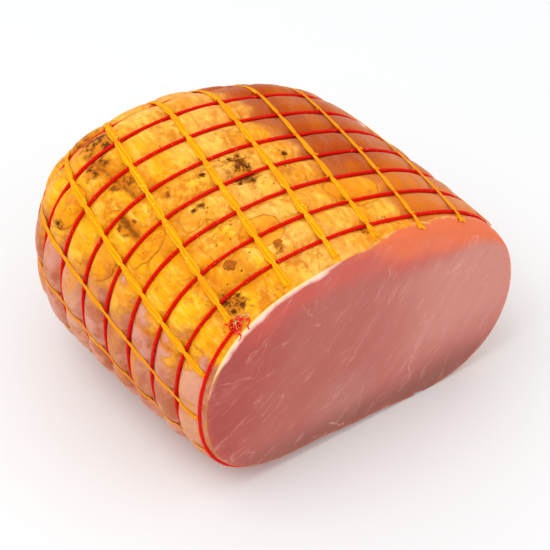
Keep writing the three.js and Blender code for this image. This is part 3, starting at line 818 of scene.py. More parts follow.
@dataclass(frozen=True)
class FaceFinish:
    """The cut face: pink meat with a grain, fine marbling, seams, a rim of fat, and painted shade towards its bottom.
    """

    middle: tuple = colour(182, 98, 88)
    red: tuple = colour(174, 73, 66)
    glow: tuple = colour(190, 123, 109)
    pale: tuple = colour(207, 134, 121)
    band: tuple = colour(235, 113, 69)
    flush: tuple = colour(210, 92, 78)
    fat: tuple = colour(254, 226, 208)
    inner_fat: tuple = colour(240, 176, 162)
    edge: tuple = colour(255, 226, 120)
    marbling: tuple = colour(226, 164, 150)
    deep: tuple = colour(160, 74, 66)
    # painted shade: the darker colour laid on the bottom of the cut face
    low: tuple = colour(144, 88, 78)
    roughness: float = 0.4
    softness: float = 0.15
    left_tilt: float = math.radians(-58)
    right_tilt: float = math.radians(-32)

    def build(self, effects: Effects, form: Form) -> bpy.types.Material:
        """Makes the material from the masks that the mesh carries."""
        material, nodes, shader = start_material("cut_meat")
        place = nodes.place()
        base = nodes.mix(nodes.attribute("face_red"), self.middle, self.red)
        base = nodes.mix(nodes.attribute("face_pale"), base, self.pale)
        base = nodes.mix(nodes.attribute("face_glow"), base, self.glow)
        # painted shade: darkens the cut face towards its bottom
        base = nodes.mix(nodes.attribute("face_painted_shade"), base, self.low)
        base = nodes.mix(nodes.attribute("face_flush"), base, self.flush)
        wobble = nodes.add("ShaderNodeTexNoise", {"Vector": place, "Scale": 190.0, "Detail": 4.0}).outputs["Fac"]
        wobble = nodes.math("SUBTRACT", wobble, 0.5)
        band = nodes.math("ADD", nodes.attribute("face_band"), nodes.times(wobble, 0.5))
        base = nodes.mix(nodes.rise(band, -0.4, 0.9), base, self.band)
        across = nodes.add("ShaderNodeSeparateXYZ", {"Vector": place}).outputs["X"]
        inputs = {"Value": across, "From Min": -0.06, "From Max": 0.06}
        inputs |= {"To Min": self.left_tilt, "To Max": self.right_tilt}
        tilt = nodes.add("ShaderNodeMapRange", inputs).outputs["Result"]
        inputs = {"Vector": place, "Angle": tilt}
        grained = nodes.add("ShaderNodeVectorRotate", inputs, rotation_type="Y_AXIS").outputs["Vector"]
        grain = nodes.group(
            effects.fibre, "Value", vector=grained, stretch=(1.0, 1.0, 0.16), scale=230.0, low=0.35, high=0.7
        )
        base = nodes.mix(nodes.math("MULTIPLY", grain, 0.1), base, self.deep)
        cloud = nodes.group(effects.fibre, "Value", vector=grained, stretch=(1.0, 1.0, 0.5), scale=70.0, low=0.45, high=0.7)
        base = nodes.mix(nodes.math("MULTIPLY", cloud, 0.12), base, self.pale)
        slender = nodes.vector("MULTIPLY", grained, (1.0, 1.0, 0.3))
        strokes = nodes.group(effects.thread, "Mask", vector=slender, scale=150.0, width=0.06, warp=1.0, gaps=0.53)
        forks = nodes.group(effects.thread, "Mask", vector=grained, scale=75.0, width=0.03, warp=1.3, gaps=0.6)
        marbling = nodes.math("MAXIMUM", nodes.times(strokes, 0.34), nodes.times(forks, 0.14))
        slivers = effects.soft(nodes, grained, 520.0, 0.56, 0.68, (1.0, 1.0, 0.11))
        thin = effects.soft(nodes, grained, 120.0, 0.42, 0.6)
        marbling = nodes.math("MAXIMUM", marbling, nodes.times(slivers, thin, 0.3))
        bend = nodes.add("ShaderNodeTexNoise", {"Vector": place, "Scale": 260.0, "Detail": 3.0}).outputs["Color"]
        bend = nodes.vector("SUBTRACT", bend, (0.5, 0.5, 0.5))
        wavy = nodes.vector("ADD", place, nodes.scaled(bend, 5 * MM))
        flat = nodes.vector("MULTIPLY", wavy, (1.0, 0.0, 1.0))
        for seam in SEAMS:
            start = ((seam.start[0] + form.shift[0]) * MM, 0.0, seam.start[1] * MM)
            end = ((seam.end[0] + form.shift[0]) * MM, 0.0, seam.end[1] * MM)
            line = nodes.group(effects.vein, "Mask", vector=flat, start=start, end=end, width=0.6 * seam.width * MM)
            marbling = nodes.math("MAXIMUM", marbling, nodes.math("MULTIPLY", line, 0.6 * seam.strength))
        base = nodes.mix(marbling, base, self.marbling)
        dark = nodes.group(effects.fleck, "Mask", vector=place, scale=110.0, share=0.03, size=0.16)
        base = nodes.mix(nodes.math("MULTIPLY", dark, 0.6), base, self.deep)
        rim = nodes.math("ADD", nodes.attribute("face_rim"), nodes.times(wobble, 0.6))
        base = nodes.mix(nodes.rise(rim, -0.08, 0.08), base, self.inner_fat)
        base = nodes.mix(nodes.rise(rim, 0.06, 0.3), base, self.fat)
        base = nodes.mix(nodes.attribute("face_edge"), base, self.edge)
        nodes.feed(shader.inputs["Base Color"], base)
        rough = nodes.math("ADD", nodes.math("MULTIPLY", grain, 0.1), self.roughness)
        nodes.feed(shader.inputs["Roughness"], rough)
        shader.inputs["Subsurface Weight"].default_value = self.softness
        shader.inputs["Subsurface Radius"].default_value = (1.0, 0.35, 0.25)
        shader.inputs["Subsurface Scale"].default_value = 0.003
        shader.inputs["Specular IOR Level"].default_value = 0.2
        height = nodes.math("ADD", nodes.math("MULTIPLY", grain, 0.6), marbling)
        bump = nodes.add("ShaderNodeBump", {"Strength": 0.25, "Distance": 0.0004, "Height": height})
        nodes.feed(shader.inputs["Normal"], bump.outputs["Normal"])
        return material


@dataclass(frozen=True)
class CordFinish:
    """The finish of a cord: its colour on the ridges, a darker colour painted in its grooves as shade, painted
    highlight dots, and where the cure has stained it.
    """

    name: str
    ridge: tuple
    # painted shade: the darker colour laid in the grooves between the ribs
    groove: tuple
    stained: tuple
    roughness: float
    gloss: float
    # painted highlight: colour of the small bright dots on the cord
    painted_highlight: tuple
    fibre_scale: float = 900.0

    def build(self, effects: Effects) -> bpy.types.Material:
        """Makes the material, which follows the ridges that the cord's mesh carries."""
        material, nodes, shader = start_material(self.name)
        place = nodes.place()
        # painted shade: the rib grooves take the darker groove colour, the ridges keep the ridge colour
        depth = nodes.rise(nodes.attribute("ridge"), -1.0, 0.4)
        base = nodes.mix(depth, self.groove, self.ridge)
        worn = nodes.group(effects.fibre, "Value", vector=place, scale=55.0, low=0.45, high=0.7)
        worn = nodes.math("MULTIPLY", worn, 0.5)
        base = nodes.mix(nodes.math("MAXIMUM", worn, nodes.attribute("stained")), base, self.stained)
        fuzz = nodes.group(effects.fibre, "Value", vector=place, scale=self.fibre_scale, low=0.3, high=0.75)
        base = nodes.mix(nodes.math("MULTIPLY", fuzz, 0.25), base, self.groove)
        # painted highlight: small bright dots scattered over the cord
        highlight_dots = nodes.group(effects.fleck, "Mask", vector=place, scale=1100.0, share=0.26, size=0.42)
        base = nodes.mix(nodes.math("MULTIPLY", highlight_dots, 0.85), base, self.painted_highlight)
        nodes.feed(shader.inputs["Base Color"], base)
        rough = nodes.math("ADD", nodes.math("MULTIPLY", fuzz, 0.15), self.roughness)
        nodes.feed(shader.inputs["Roughness"], rough)
        shader.inputs["Specular IOR Level"].default_value = self.gloss
        bump = nodes.add("ShaderNodeBump", {"Strength": 0.3, "Distance": 0.0002, "Height": fuzz})
        nodes.feed(shader.inputs["Normal"], bump.outputs["Normal"])
        return material


@dataclass(frozen=True)
class GrainFinish:
    """The finish of loose spice: each grain has its own shade between two colours."""

    name: str
    dark: tuple
    light: tuple
    roughness: float

    def build(self, effects: Effects) -> bpy.types.Material:
        """Makes the material, which follows the shade that each grain carries."""
        material, nodes, shader = start_material(self.name)
        place = nodes.place()
        base = nodes.mix(nodes.attribute("shade"), self.dark, self.light)
        husk = nodes.group(effects.fibre, "Value", vector=place, scale=1400.0, low=0.35, high=0.65)
        base = nodes.mix(nodes.math("MULTIPLY", husk, 0.5), base, self.dark)
        nodes.feed(shader.inputs["Base Color"], base)
        rough = nodes.math("ADD", nodes.math("MULTIPLY", husk, 0.2), self.roughness)
        nodes.feed(shader.inputs["Roughness"], rough)
        shader.inputs["Specular IOR Level"].default_value = 0.12
        bump = nodes.add("ShaderNodeBump", {"Strength": 0.4, "Distance": 0.0002, "Height": husk})
        nodes.feed(shader.inputs["Normal"], bump.outputs["Normal"])
        return material


def add_object(name: str, mesh: bpy.types.Mesh) -> bpy.types.Object:
    """Puts a mesh in the scene as an object at the origin."""
    made = bpy.data.objects.new(name, mesh)
    bpy.context.scene.collection.objects.link(made)
    return made


def add_attribute(mesh: bpy.types.Mesh, name: str, values: np.ndarray) -> None:
    """Gives a mesh a number, or a vector, for each vertex."""
    is_vector = values.ndim == 2
    layer = mesh.attributes.new(name, "FLOAT_VECTOR" if is_vector else "FLOAT", "POINT")
    layer.data.foreach_set("vector" if is_vector else "value", np.ascontiguousarray(values, np.float32).ravel())


def grow(made: bpy.types.Object, tree: bpy.types.NodeTree, values: dict) -> bpy.types.Object:
    """Runs a geometry tree on an object and keeps the result as its plain mesh.

    Args:
        made: The object, whose mesh is what the tree starts from.
        tree: The geometry tree.
        values: Value of each named input.

    Returns:
        The same object.
    """
    modifier = made.modifiers.new("growth", "NODES")
    modifier.node_group = tree
    for item in tree.interface.items_tree:
        if item.in_out == "INPUT" and item.name in values:
            modifier[item.identifier] = values[item.name]
    made.update_tag()
    bpy.context.view_layer.update()
    graph = bpy.context.evaluated_depsgraph_get()
    mesh = bpy.data.meshes.new_from_object(made.evaluated_get(graph), preserve_all_data_layers=True, depsgraph=graph)
    made.modifiers.remove(modifier)
    made.data = mesh
    if signed_volume(mesh) < 0:
        mesh.flip_normals()
    mesh.shade_smooth()
    return made


def signed_volume(mesh: bpy.types.Mesh) -> float:
    """Volume inside a mesh, below nothing where its faces point inwards."""
    mesh.calc_loop_triangles()
    corners = np.zeros(len(mesh.loop_triangles) * 3, np.int32)
    mesh.loop_triangles.foreach_get("vertices", corners)
    places = np.zeros(len(mesh.vertices) * 3, np.float32)
    mesh.vertices.foreach_get("co", places)
    a, b, c = places.reshape(-1, 3)[corners].reshape(-1, 3, 3).transpose(1, 0, 2)
    return float(np.einsum("ij,ij->", a, np.cross(b, c)) / 6)


def report(made: bpy.types.Object, slot: str, *nodes: str) -> bpy.types.Object:
    """Ties a finished piece to the body, hides the solids that it stands for, and logs it."""
    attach(made, BODY)
    if nodes:
        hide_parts(*nodes)
    LOG.info("%s: %d faces, stands for %s", made.name, len(made.data.polygons), ", ".join(nodes) or "nothing")
    return made


class CordTree:
    """A geometry tree that lays a ribbed cord along a path whose points carry their own directions."""

    inputs = [
        ("Geometry", "NodeSocketGeometry", None),
        ("Sides", "NodeSocketInt", 10),
        ("Rib Depth", "NodeSocketFloat", 0.1),
        ("Rib Pitch", "NodeSocketFloat", 0.002),
        ("Rib Starts", "NodeSocketFloat", 2.0),
        ("Material", "NodeSocketMaterial", None),
    ]

    def __init__(self) -> None:
        """Builds the tree."""
        ends = [("Geometry", "NodeSocketGeometry")]
        nodes, given, end = new_tree("cord", "GeometryNodeTree", self.inputs, ends)
        path = nodes.add("GeometryNodeMeshToCurve", {"Mesh": given["Geometry"]}).outputs["Curve"]
        length = nodes.add("GeometryNodeSplineParameter").outputs["Length"]
        path = self.store(nodes, path, "FLOAT", "along", length)
        path = self.store(nodes, path, "FLOAT_VECTOR", "centre", nodes.add("GeometryNodeInputPosition").outputs[0])
        ring = nodes.add("GeometryNodeCurvePrimitiveCircle", {"Resolution": given["Sides"]}).outputs["Curve"]
        turn = nodes.math("DIVIDE", nodes.add("GeometryNodeInputIndex").outputs[0], given["Sides"])
        ring = self.store(nodes, ring, "FLOAT", "turn", nodes.math("MULTIPLY", turn, TURN))
        inputs = {"Curve": path, "Profile Curve": ring, "Fill Caps": True}
        tube = nodes.add("GeometryNodeCurveToMesh", inputs).outputs["Mesh"]
        turn = self.named(nodes, "FLOAT", "turn")
        phase = nodes.math("MULTIPLY", nodes.math("DIVIDE", self.named(nodes, "FLOAT", "along"), given["Rib Pitch"]), TURN)
        ridge = nodes.math("COSINE", nodes.math("ADD", phase, nodes.math("MULTIPLY", turn, given["Rib Starts"])))
        tube = self.store(nodes, tube, "FLOAT", "ridge", ridge)
        ridge = self.named(nodes, "FLOAT", "ridge")
        swell = nodes.math("ADD", 1.0, nodes.math("MULTIPLY", ridge, given["Rib Depth"]))
        width = nodes.math("MULTIPLY", nodes.math("MULTIPLY", nodes.math("COSINE", turn), swell), self.named(nodes, "FLOAT", "half_width"))
        height = nodes.math("MULTIPLY", nodes.math("MULTIPLY", nodes.math("SINE", turn), swell), self.named(nodes, "FLOAT", "half_height"))
        sideways = nodes.scaled(self.named(nodes, "FLOAT_VECTOR", "across"), width)
        upwards = nodes.scaled(self.named(nodes, "FLOAT_VECTOR", "out"), height)
        place = nodes.vector("ADD", self.named(nodes, "FLOAT_VECTOR", "centre"), nodes.vector("ADD", sideways, upwards))
        tube = nodes.add("GeometryNodeSetPosition", {"Geometry": tube, "Position": place}).outputs["Geometry"]
        tube = nodes.add("GeometryNodeRealizeInstances", {"Geometry": tube}).outputs["Geometry"]
        tube = nodes.add("GeometryNodeSetMaterial", {"Geometry": tube, "Material": given["Material"]}).outputs["Geometry"]
        nodes.feed(end.inputs["Geometry"], tube)
        self.tree = nodes.tree

    @staticmethod
    def store(nodes: Nodes, geometry: object, kind: str, name: str, value: object) -> bpy.types.NodeSocket:
        """Keeps a value on each point of a geometry under a name."""
        node = nodes.add("GeometryNodeStoreNamedAttribute", data_type=kind, domain="POINT")
        nodes.feed(node.inputs["Geometry"], geometry)
        nodes.feed(node.inputs["Name"], name)
        nodes.feed(node.inputs["Value"], value)
        return node.outputs["Geometry"]

    @staticmethod
    def named(nodes: Nodes, kind: str, name: str) -> bpy.types.NodeSocket:
        """Reads a value that the points carry."""
        return nodes.add("GeometryNodeInputNamedAttribute", {"Name": name}, data_type=kind).outputs["Attribute"]


@dataclass
class Path:
    """The centre line of a cord, with its directions and half sizes at each point, in millimetres."""

    centre: np.ndarray
    out: np.ndarray
    across: np.ndarray
    half_width: np.ndarray
    half_height: np.ndarray
    stained: np.ndarray
    closed: bool = False

    def length(self) -> float:
        """Length of the centre line."""
        points = np.vstack([self.centre, self.centre[:1]]) if self.closed else self.centre
        return float(np.linalg.norm(np.diff(points, axis=0), axis=1).sum())


@dataclass(frozen=True)
class CordShape:
    """How a cord is ribbed: sides of its section, depth and pitch of its ribs, and how many wind together."""

    sides: int
    rib_depth: float
    rib_pitch: float
    rib_starts: float


ELASTIC = CordShape(sides=8, rib_depth=0.12, rib_pitch=1.2, rib_starts=1.0)
BAND = CordShape(sides=16, rib_depth=0.1, rib_pitch=26.0, rib_starts=5.0)
STRAND = CordShape(sides=6, rib_depth=0.0, rib_pitch=3.0, rib_starts=1.0)


def cord_object(name: str, paths: list[Path], shape: CordShape, tree: CordTree, finish: bpy.types.Material) -> bpy.types.Object:
    """Lays one cord on each path, all in one object.

    Args:
        name: The object's name.
        paths: The paths.
        shape: How the cord is ribbed.
        tree: The tree that lays it.
        finish: Its material.

    Returns:
        The object with its finished mesh.
    """
    edges, start = [], 0
    for path in paths:
        count = len(path.centre)
        edges += [(start + i, start + i + 1) for i in range(count - 1)]
        if path.closed:
            edges.append((start + count - 1, start))
        start += count
    mesh = bpy.data.meshes.new(name)
    mesh.from_pydata(np.vstack([path.centre for path in paths]) * MM, edges, [])
    for label in ("out", "across"):
        add_attribute(mesh, label, np.vstack([getattr(path, label) for path in paths]))
    for label, scale in (("half_width", MM), ("half_height", MM), ("stained", 1.0)):
        add_attribute(mesh, label, np.concatenate([getattr(path, label) for path in paths]) * scale)
    pitch = shape.rib_pitch
    if paths[0].closed:
        pitch = paths[0].length() / round(paths[0].length() / pitch)
    values = {"Sides": shape.sides, "Rib Depth": shape.rib_depth, "Rib Pitch": pitch * MM}
    values |= {"Rib Starts": shape.rib_starts, "Material": finish}
    return grow(add_object(name, mesh), tree.tree, values)


def join(pieces: list[bpy.types.Object]) -> bpy.types.Object:
    """Joins objects into the first of them."""
    if len(pieces) > 1:
        with bpy.context.temp_override(active_object=pieces[0], selected_editable_objects=pieces):
            bpy.ops.object.join()
    return pieces[0]


@dataclass
class Meat:
    """The cured meat: one closed skin from the middle of the cut face to the pole of the far end."""

    skin: Skin
    effects: Effects
    bits: list
    fine_from: float = 28.0
    fine_to: float = 238.0
    fine_columns: int = 300
    coarse_columns: int = 130
    edge_rows: int = 9
    edge_length: float = 3.0
    fine_rows: int = 128
    fine_reach: float = 100.0
    coarse_rows: int = 42
    last_row: float = 1.2
    face_rings: int = 34
    face_wave: tuple = ((22.0, 0.25), (7.0, 0.1), (2.5, 0.04))
    warp: tuple = ((18.0, 4.0), (8.0, 2.5), (3.5, 0.8))
    wrap_at: float = 238.0
    halo_width: float = 1.5

    def grid(self) -> tuple[np.ndarray, np.ndarray]:
        """Angles of the columns and reaches of the rows."""
        low, high = math.radians(self.fine_from), math.radians(self.fine_to)
        fine = np.linspace(low, high, self.fine_columns, endpoint=False)
        coarse = np.linspace(high, low + TURN, self.coarse_columns, endpoint=False)
        edge = np.linspace(0, self.edge_length, self.edge_rows)[:-1]
        near = np.linspace(self.edge_length, self.fine_reach, self.fine_rows)[:-1]
        far = np.linspace(self.fine_reach, self.skin.net.form.end - self.last_row, self.coarse_rows)
        return np.concatenate([fine, coarse]), np.concatenate([edge, near, far])

    def masks(self, angle: np.ndarray, reach: np.ndarray, plain: np.ndarray) -> dict[str, np.ndarray]:
        """Strength of each colour zone of the skin and of the cut face.

        Args:
            angle: Angle of each place.
            reach: Reach of each place, below nothing for how far it is inside the cut face's edge.
            plain: The place itself, in millimetres.

        Returns:
            One array from 0 to 1 for each zone.
        """
        skin = self.skin
        degrees = np.degrees(np.mod(angle, TURN))
        along = np.maximum(reach, 0) + sum(size * soft_noise(plain, width, 23) for width, size in self.warp)
        turned = np.where(degrees > self.wrap_at, degrees - 360, degrees)
        edge = 76 - 13 * smoothstep(42, 33, along)
        x, z = plain[..., 0], plain[..., 2]
        wide = soft_noise(plain, 24.0, 31) * 5
        end = smoothstep(48, 16, skin.net.form.end - reach)
        left = np.minimum(degrees - 156, 318 - degrees) / 30 * (1 - end) + (46 - z) / 30 * end
        right = (edge - turned) / 24 * (1 - end) + (x - 34) / 30 * end
        inside = np.maximum(-reach, 0)
        rim_width = 4.2 * smoothstep(166, 140, degrees) * smoothstep(92, 118, degrees) - 0.5
        rim_width = rim_width * (1 + 0.4 * soft_noise(plain, 6.0, 41))
        skin_band = 5.4 * smoothstep(3, 20, degrees) * smoothstep(97, 66, degrees)
        face_band = 10 * smoothstep(16, 45, degrees) * smoothstep(104, 62, degrees)
        to_cord = np.minimum(skin.net.to_hoop(angle, reach) - 1.2, skin.net.to_string(angle, reach) - 1.6)
        row = skin.net.hoop_number(angle, np.maximum(reach, 0))
        top = smoothstep(30, 60, degrees) * smoothstep(152, 130, degrees)
        return {
            "left": np.clip(left, -1, 1),
            "right": np.clip(right, -1, 1),
            "deep": smoothstep(108, 122, degrees + wide) * (1 - 0.5 * end),
            "tan": smoothstep(104, 82, degrees + wide) * (1 - end),
            "smoked": smoothstep(121, 127, degrees + wide) * smoothstep(141, 134, degrees + wide) * (1 - end),
            "row": row - np.floor(row),
            "by_cord": np.exp(-((skin.net.to_string(angle, reach) / 3.0) ** 2)),
            "warm": smoothstep(44, 28, along) * 0.75,
            "peach": smoothstep(56, 18, np.abs(turned) + 2 * wide),
            "upper": smoothstep(200, 165, degrees + 2 * wide),
            "brown": np.maximum(
                smoothstep(188, 216, degrees + 2 * wide) * smoothstep(300, 262, degrees) * 0.55,
                smoothstep(1.5, 0.5, reach) * smoothstep(160, 168, degrees) * smoothstep(240, 225, degrees) * 0.75,
            ),
            "flush": smoothstep(186, 206, degrees) * smoothstep(240, 225, degrees) * smoothstep(16, 4, along) * 0.6,
            "flap": skin.flap_field(angle, reach),
            "stain": skin.spots(angle, along, STAINS),
            "spice": skin.spots(angle, along, SPICED) * smoothstep(0, 0.8, to_cord),
            "crease": np.clip(skin.crease(angle, reach) / 0.8, 0, 1),
            "band": np.clip((skin_band - reach - 0.6) / 6, -1, 1),
            "face_red": smoothstep(-22, -60, x + wide - 0.35 * (z - 45)),
            "face_pale": smoothstep(-2, 46, x + wide) * smoothstep(84, 62, z) * smoothstep(6, 38, z),
            # painted shade: how strongly the cut face is darkened towards its bottom
            "face_painted_shade": smoothstep(22, 4, z + wide / 2) * 0.9,
            "face_flush": smoothstep(19, 7, inside + wide / 2) * top * 0.85,
            "face_glow": smoothstep(26, 8, np.hypot(x + 6, 1.3 * (z - 23)) + wide) * 0.7,
            "face_band": np.clip((face_band - inside) / 8, -1, 1),
            "face_rim": np.clip((rim_width - inside) / 8, -1, 1),
            "face_edge": smoothstep(1.6, 0.0, inside) * smoothstep(100, 116, degrees) * smoothstep(164, 150, degrees),
        }

    def halo(self, place: np.ndarray) -> np.ndarray:
        """How near each place is to a coarse bit of spice, from 0 to 1."""
        near = np.zeros(place.shape[:2])
        for bit in self.bits:
            away = np.linalg.norm(place - bit.place, axis=-1) / (self.halo_width * bit.radius)
            near = np.maximum(near, (1 - bit.shade) * np.exp(-(away**2)))
        return near

    def rings(self) -> tuple[np.ndarray, np.ndarray, np.ndarray]:
        """Angle, reach and place of every ring of vertices, from inside the cut face to the far end."""
        skin, form = self.skin, self.skin.net.form
        angles, reaches = self.grid()
        angle, reach = np.meshgrid(angles, reaches)
        place = skin.point(angle, reach)
        edge = place[0]
        middle = np.array([form.shift[0], form.shift[1], form.outline.centre_height])
        share = 1 - (np.arange(1, self.face_rings)[::-1] / self.face_rings)[:, None, None]
        face = middle + (edge - middle) * share
        face_reach = -np.linalg.norm(edge - face, axis=-1)
        ripple = sum(size * (soft_noise(face, width, 5) + 0.4) for width, size in self.face_wave)
        face[..., 1] += ripple * smoothstep(0, -4, face_reach)
        face_angle = np.broadcast_to(angles, face.shape[:2])
        return np.vstack([face_angle, angle]), np.vstack([face_reach, reach]), np.vstack([face, place])

    def build(self) -> bpy.types.Object:
        """Builds and dresses the meat."""
        form = self.skin.net.form
        angle, reach, place = self.rings()
        rows, columns = angle.shape
        start = np.append(place[0].mean(axis=0)[:2], form.outline.centre_height)
        stop = form.plain(0.0, form.end) + np.array(form.shift)
        points = np.vstack([place.reshape(-1, 3), start, stop])
        index = np.arange(rows * columns).reshape(rows, columns)
        beside = np.roll(index, -1, axis=1)
        quads = np.stack([index[:-1], index[1:], beside[1:], beside[:-1]], axis=-1).reshape(-1, 4)
        near = [(rows * columns, int(a), int(b)) for a, b in zip(index[0], beside[0])]
        far = [(rows * columns + 1, int(b), int(a)) for a, b in zip(index[-1], beside[-1])]
        mesh = bpy.data.meshes.new("cured_meat")
        mesh.from_pydata(points * MM, [], quads.tolist() + near + far)
        plain = np.where((reach < 0)[..., None], place - np.array(form.shift), form.plain(angle, np.maximum(reach, 0)))
        masks = self.masks(angle, reach, plain) | {"halo": self.halo(place)}
        for name, values in masks.items():
            ends = np.array([values[0].mean(), values[-1].mean()])
            add_attribute(mesh, name, np.concatenate([values.ravel(), ends]))
        mesh.materials.append(SkinFinish().build(self.effects))
        mesh.materials.append(FaceFinish().build(self.effects, form))
        on_face = np.zeros(len(mesh.polygons), np.int32)
        on_face[: (self.face_rings - 1) * columns] = 1
        on_face[len(quads) : len(quads) + columns] = 1
        mesh.polygons.foreach_set("material_index", on_face)
        mesh.shade_smooth()
        LOG.info("meat volume %.0f mm3", signed_volume(mesh) / MM**3)
        return report(add_object("cured_meat", mesh), "cured_meat", "meat")


@dataclass
class Elastic:
    """The red hoops of covered elastic, with the one that is cut at the front edge and its frayed tuft."""

    skin: Skin
    tree: CordTree
    finish: bpy.types.Material
    fray_finish: bpy.types.Material
    core_finish: bpy.types.Material
    step: float = 0.25
    radius: float = 0.66
    gap: float = 0.12
    low: float = 2.4
    cut_from: float = math.radians(225)
    cut_to: float = math.radians(138)
    cut_reach: float = 2.2
    tuft_angle: float = math.radians(138.5)
    tuft_strands: int = 13
    tuft_length: tuple = (0.8, 3.2)
    tuft_radius: float = 0.46
    tuft_front: float = 1.4
    tuft_fall: float = 2.6
    strand_steps: int = 34
    core_strands: int = 6
    seed: int = 12

    def path(self, angle: np.ndarray, reach: np.ndarray, closed: bool) -> Path:
        """Path of a hoop over the skin."""
        form = self.skin.net.form
        fade = smoothstep(0, self.skin.edge_blend, reach) * smoothstep(0, self.skin.pole_blend, form.end - reach)
        lift = self.gap + self.radius - self.skin.groove * fade - self.skin.edge_drop(angle, reach)
        centre = form.offset(angle, reach, lift)
        centre[:, 2] = np.maximum(centre[:, 2], self.low)
        out, along, _ = form.directions(angle, reach)
        size = self.radius * (1 + 0.08 * soft_noise(centre, 9.0, 51) + 0.12 * soft_noise(centre, 1.6, 53))
        return Path(centre, out, along, size, size, np.zeros(len(centre)), closed)

    def hoop(self, n: int) -> bpy.types.Object:
        """Builds the hoop with number n."""
        outline = self.skin.net.form.outline
        count = round(outline.perimeter() / self.step)
        angle = outline.angle_at(np.arange(count) * outline.perimeter() / count)
        path = self.path(angle, self.skin.net.hoop_reach(angle, n), True)
        name = f"red_elastic_{n + 1:02d}"
        return report(cord_object(name, [path], ELASTIC, self.tree, self.finish), "red_elastic", f"red_hoop_{n + 1:02d}")

    def strand(self, random: np.random.Generator, length: float, radius: float) -> Path:
        """One curled filament of the tuft, which lies on the skin or hangs down the cut face."""
        form = self.skin.net.form
        angle = np.array([self.tuft_angle + random.normal(0, 0.02)])
        reach = np.array([self.cut_reach + random.normal(0, 0.6)])
        out, along, across = (way[0] for way in form.directions(angle, reach))
        turn = random.uniform(0, TURN)
        way = across * math.cos(turn) + along * math.sin(turn) + out * random.uniform(-0.05, 0.3)
        side = np.cross(way, out)
        side /= np.linalg.norm(side)
        share = np.linspace(0, 1, self.strand_steps)
        phase = random.uniform(0, TURN)
        coil = TURN * random.uniform(0.9, 1.6) * share + phase
        loop = random.uniform(0.8, 1.35)
        centre = form.offset(angle, reach, np.array([random.uniform(0.7, 1.7)]))[0] + np.outer(share * length, way)
        centre += np.outer(loop * (np.cos(coil) - math.cos(phase)), side)
        centre += np.outer(loop * 0.7 * (np.sin(coil) - math.sin(phase)), out)
        front = form.shift[1] - self.tuft_front
        over = np.clip((form.shift[1] - centre[:, 1]) / self.tuft_front, 0, 1)
        centre[:, 2] -= self.tuft_fall * over * share
        centre[:, 1] = np.maximum(centre[:, 1], front)
        flat = np.ones(self.strand_steps)
        taper = radius * (1 - 0.35 * share)
        return Path(centre, np.outer(flat, out), np.outer(flat, side), taper, taper, 0 * flat)

    def cut_hoop(self) -> bpy.types.Object:
        """Builds the cut hoop with its tuft of filaments and its pale rubber cores."""
        random = np.random.default_rng(self.seed)
        arc = self.skin.net.form.outline.mean_radius * (self.cut_from - self.cut_to)
        angle = np.linspace(self.cut_from, self.cut_to, round(arc / self.step))
        path = self.path(angle, np.full_like(angle, self.cut_reach), False)
        pieces = [cord_object("red_elastic_01", [path], ELASTIC, self.tree, self.finish)]
        strands = [self.strand(random, random.uniform(*self.tuft_length), self.tuft_radius) for _ in range(self.tuft_strands)]
        pieces.append(cord_object("tuft", strands, STRAND, self.tree, self.fray_finish))
        cores = [self.strand(random, random.uniform(2.0, 3.2), 0.4) for _ in range(self.core_strands)]
        pieces.append(cord_object("cores", cores, STRAND, self.tree, self.core_finish))
        return report(join(pieces), "red_elastic", "red_hoop_01")

    def build(self) -> None:
        """Builds all hoops."""
        self.cut_hoop()
        for n in range(1, self.skin.net.hoops):
            self.hoop(n)


@dataclass(frozen=True)
class Tail:
    """A frayed end of a string: where the band stops, and how many lobes and how long it splays into."""

    stop: float
    lobes: int
    length: float


TAILS = {0: Tail(4.2, 2, 3.0), 1: Tail(4.0, 2, 3.2), 2: Tail(6.0, 2, 4.6), 3: Tail(2.4, 2, 2.6), 4: Tail(1.8, 2, 2.0)}
PLAIN_TAIL = Tail(1.2, 2, 1.6)


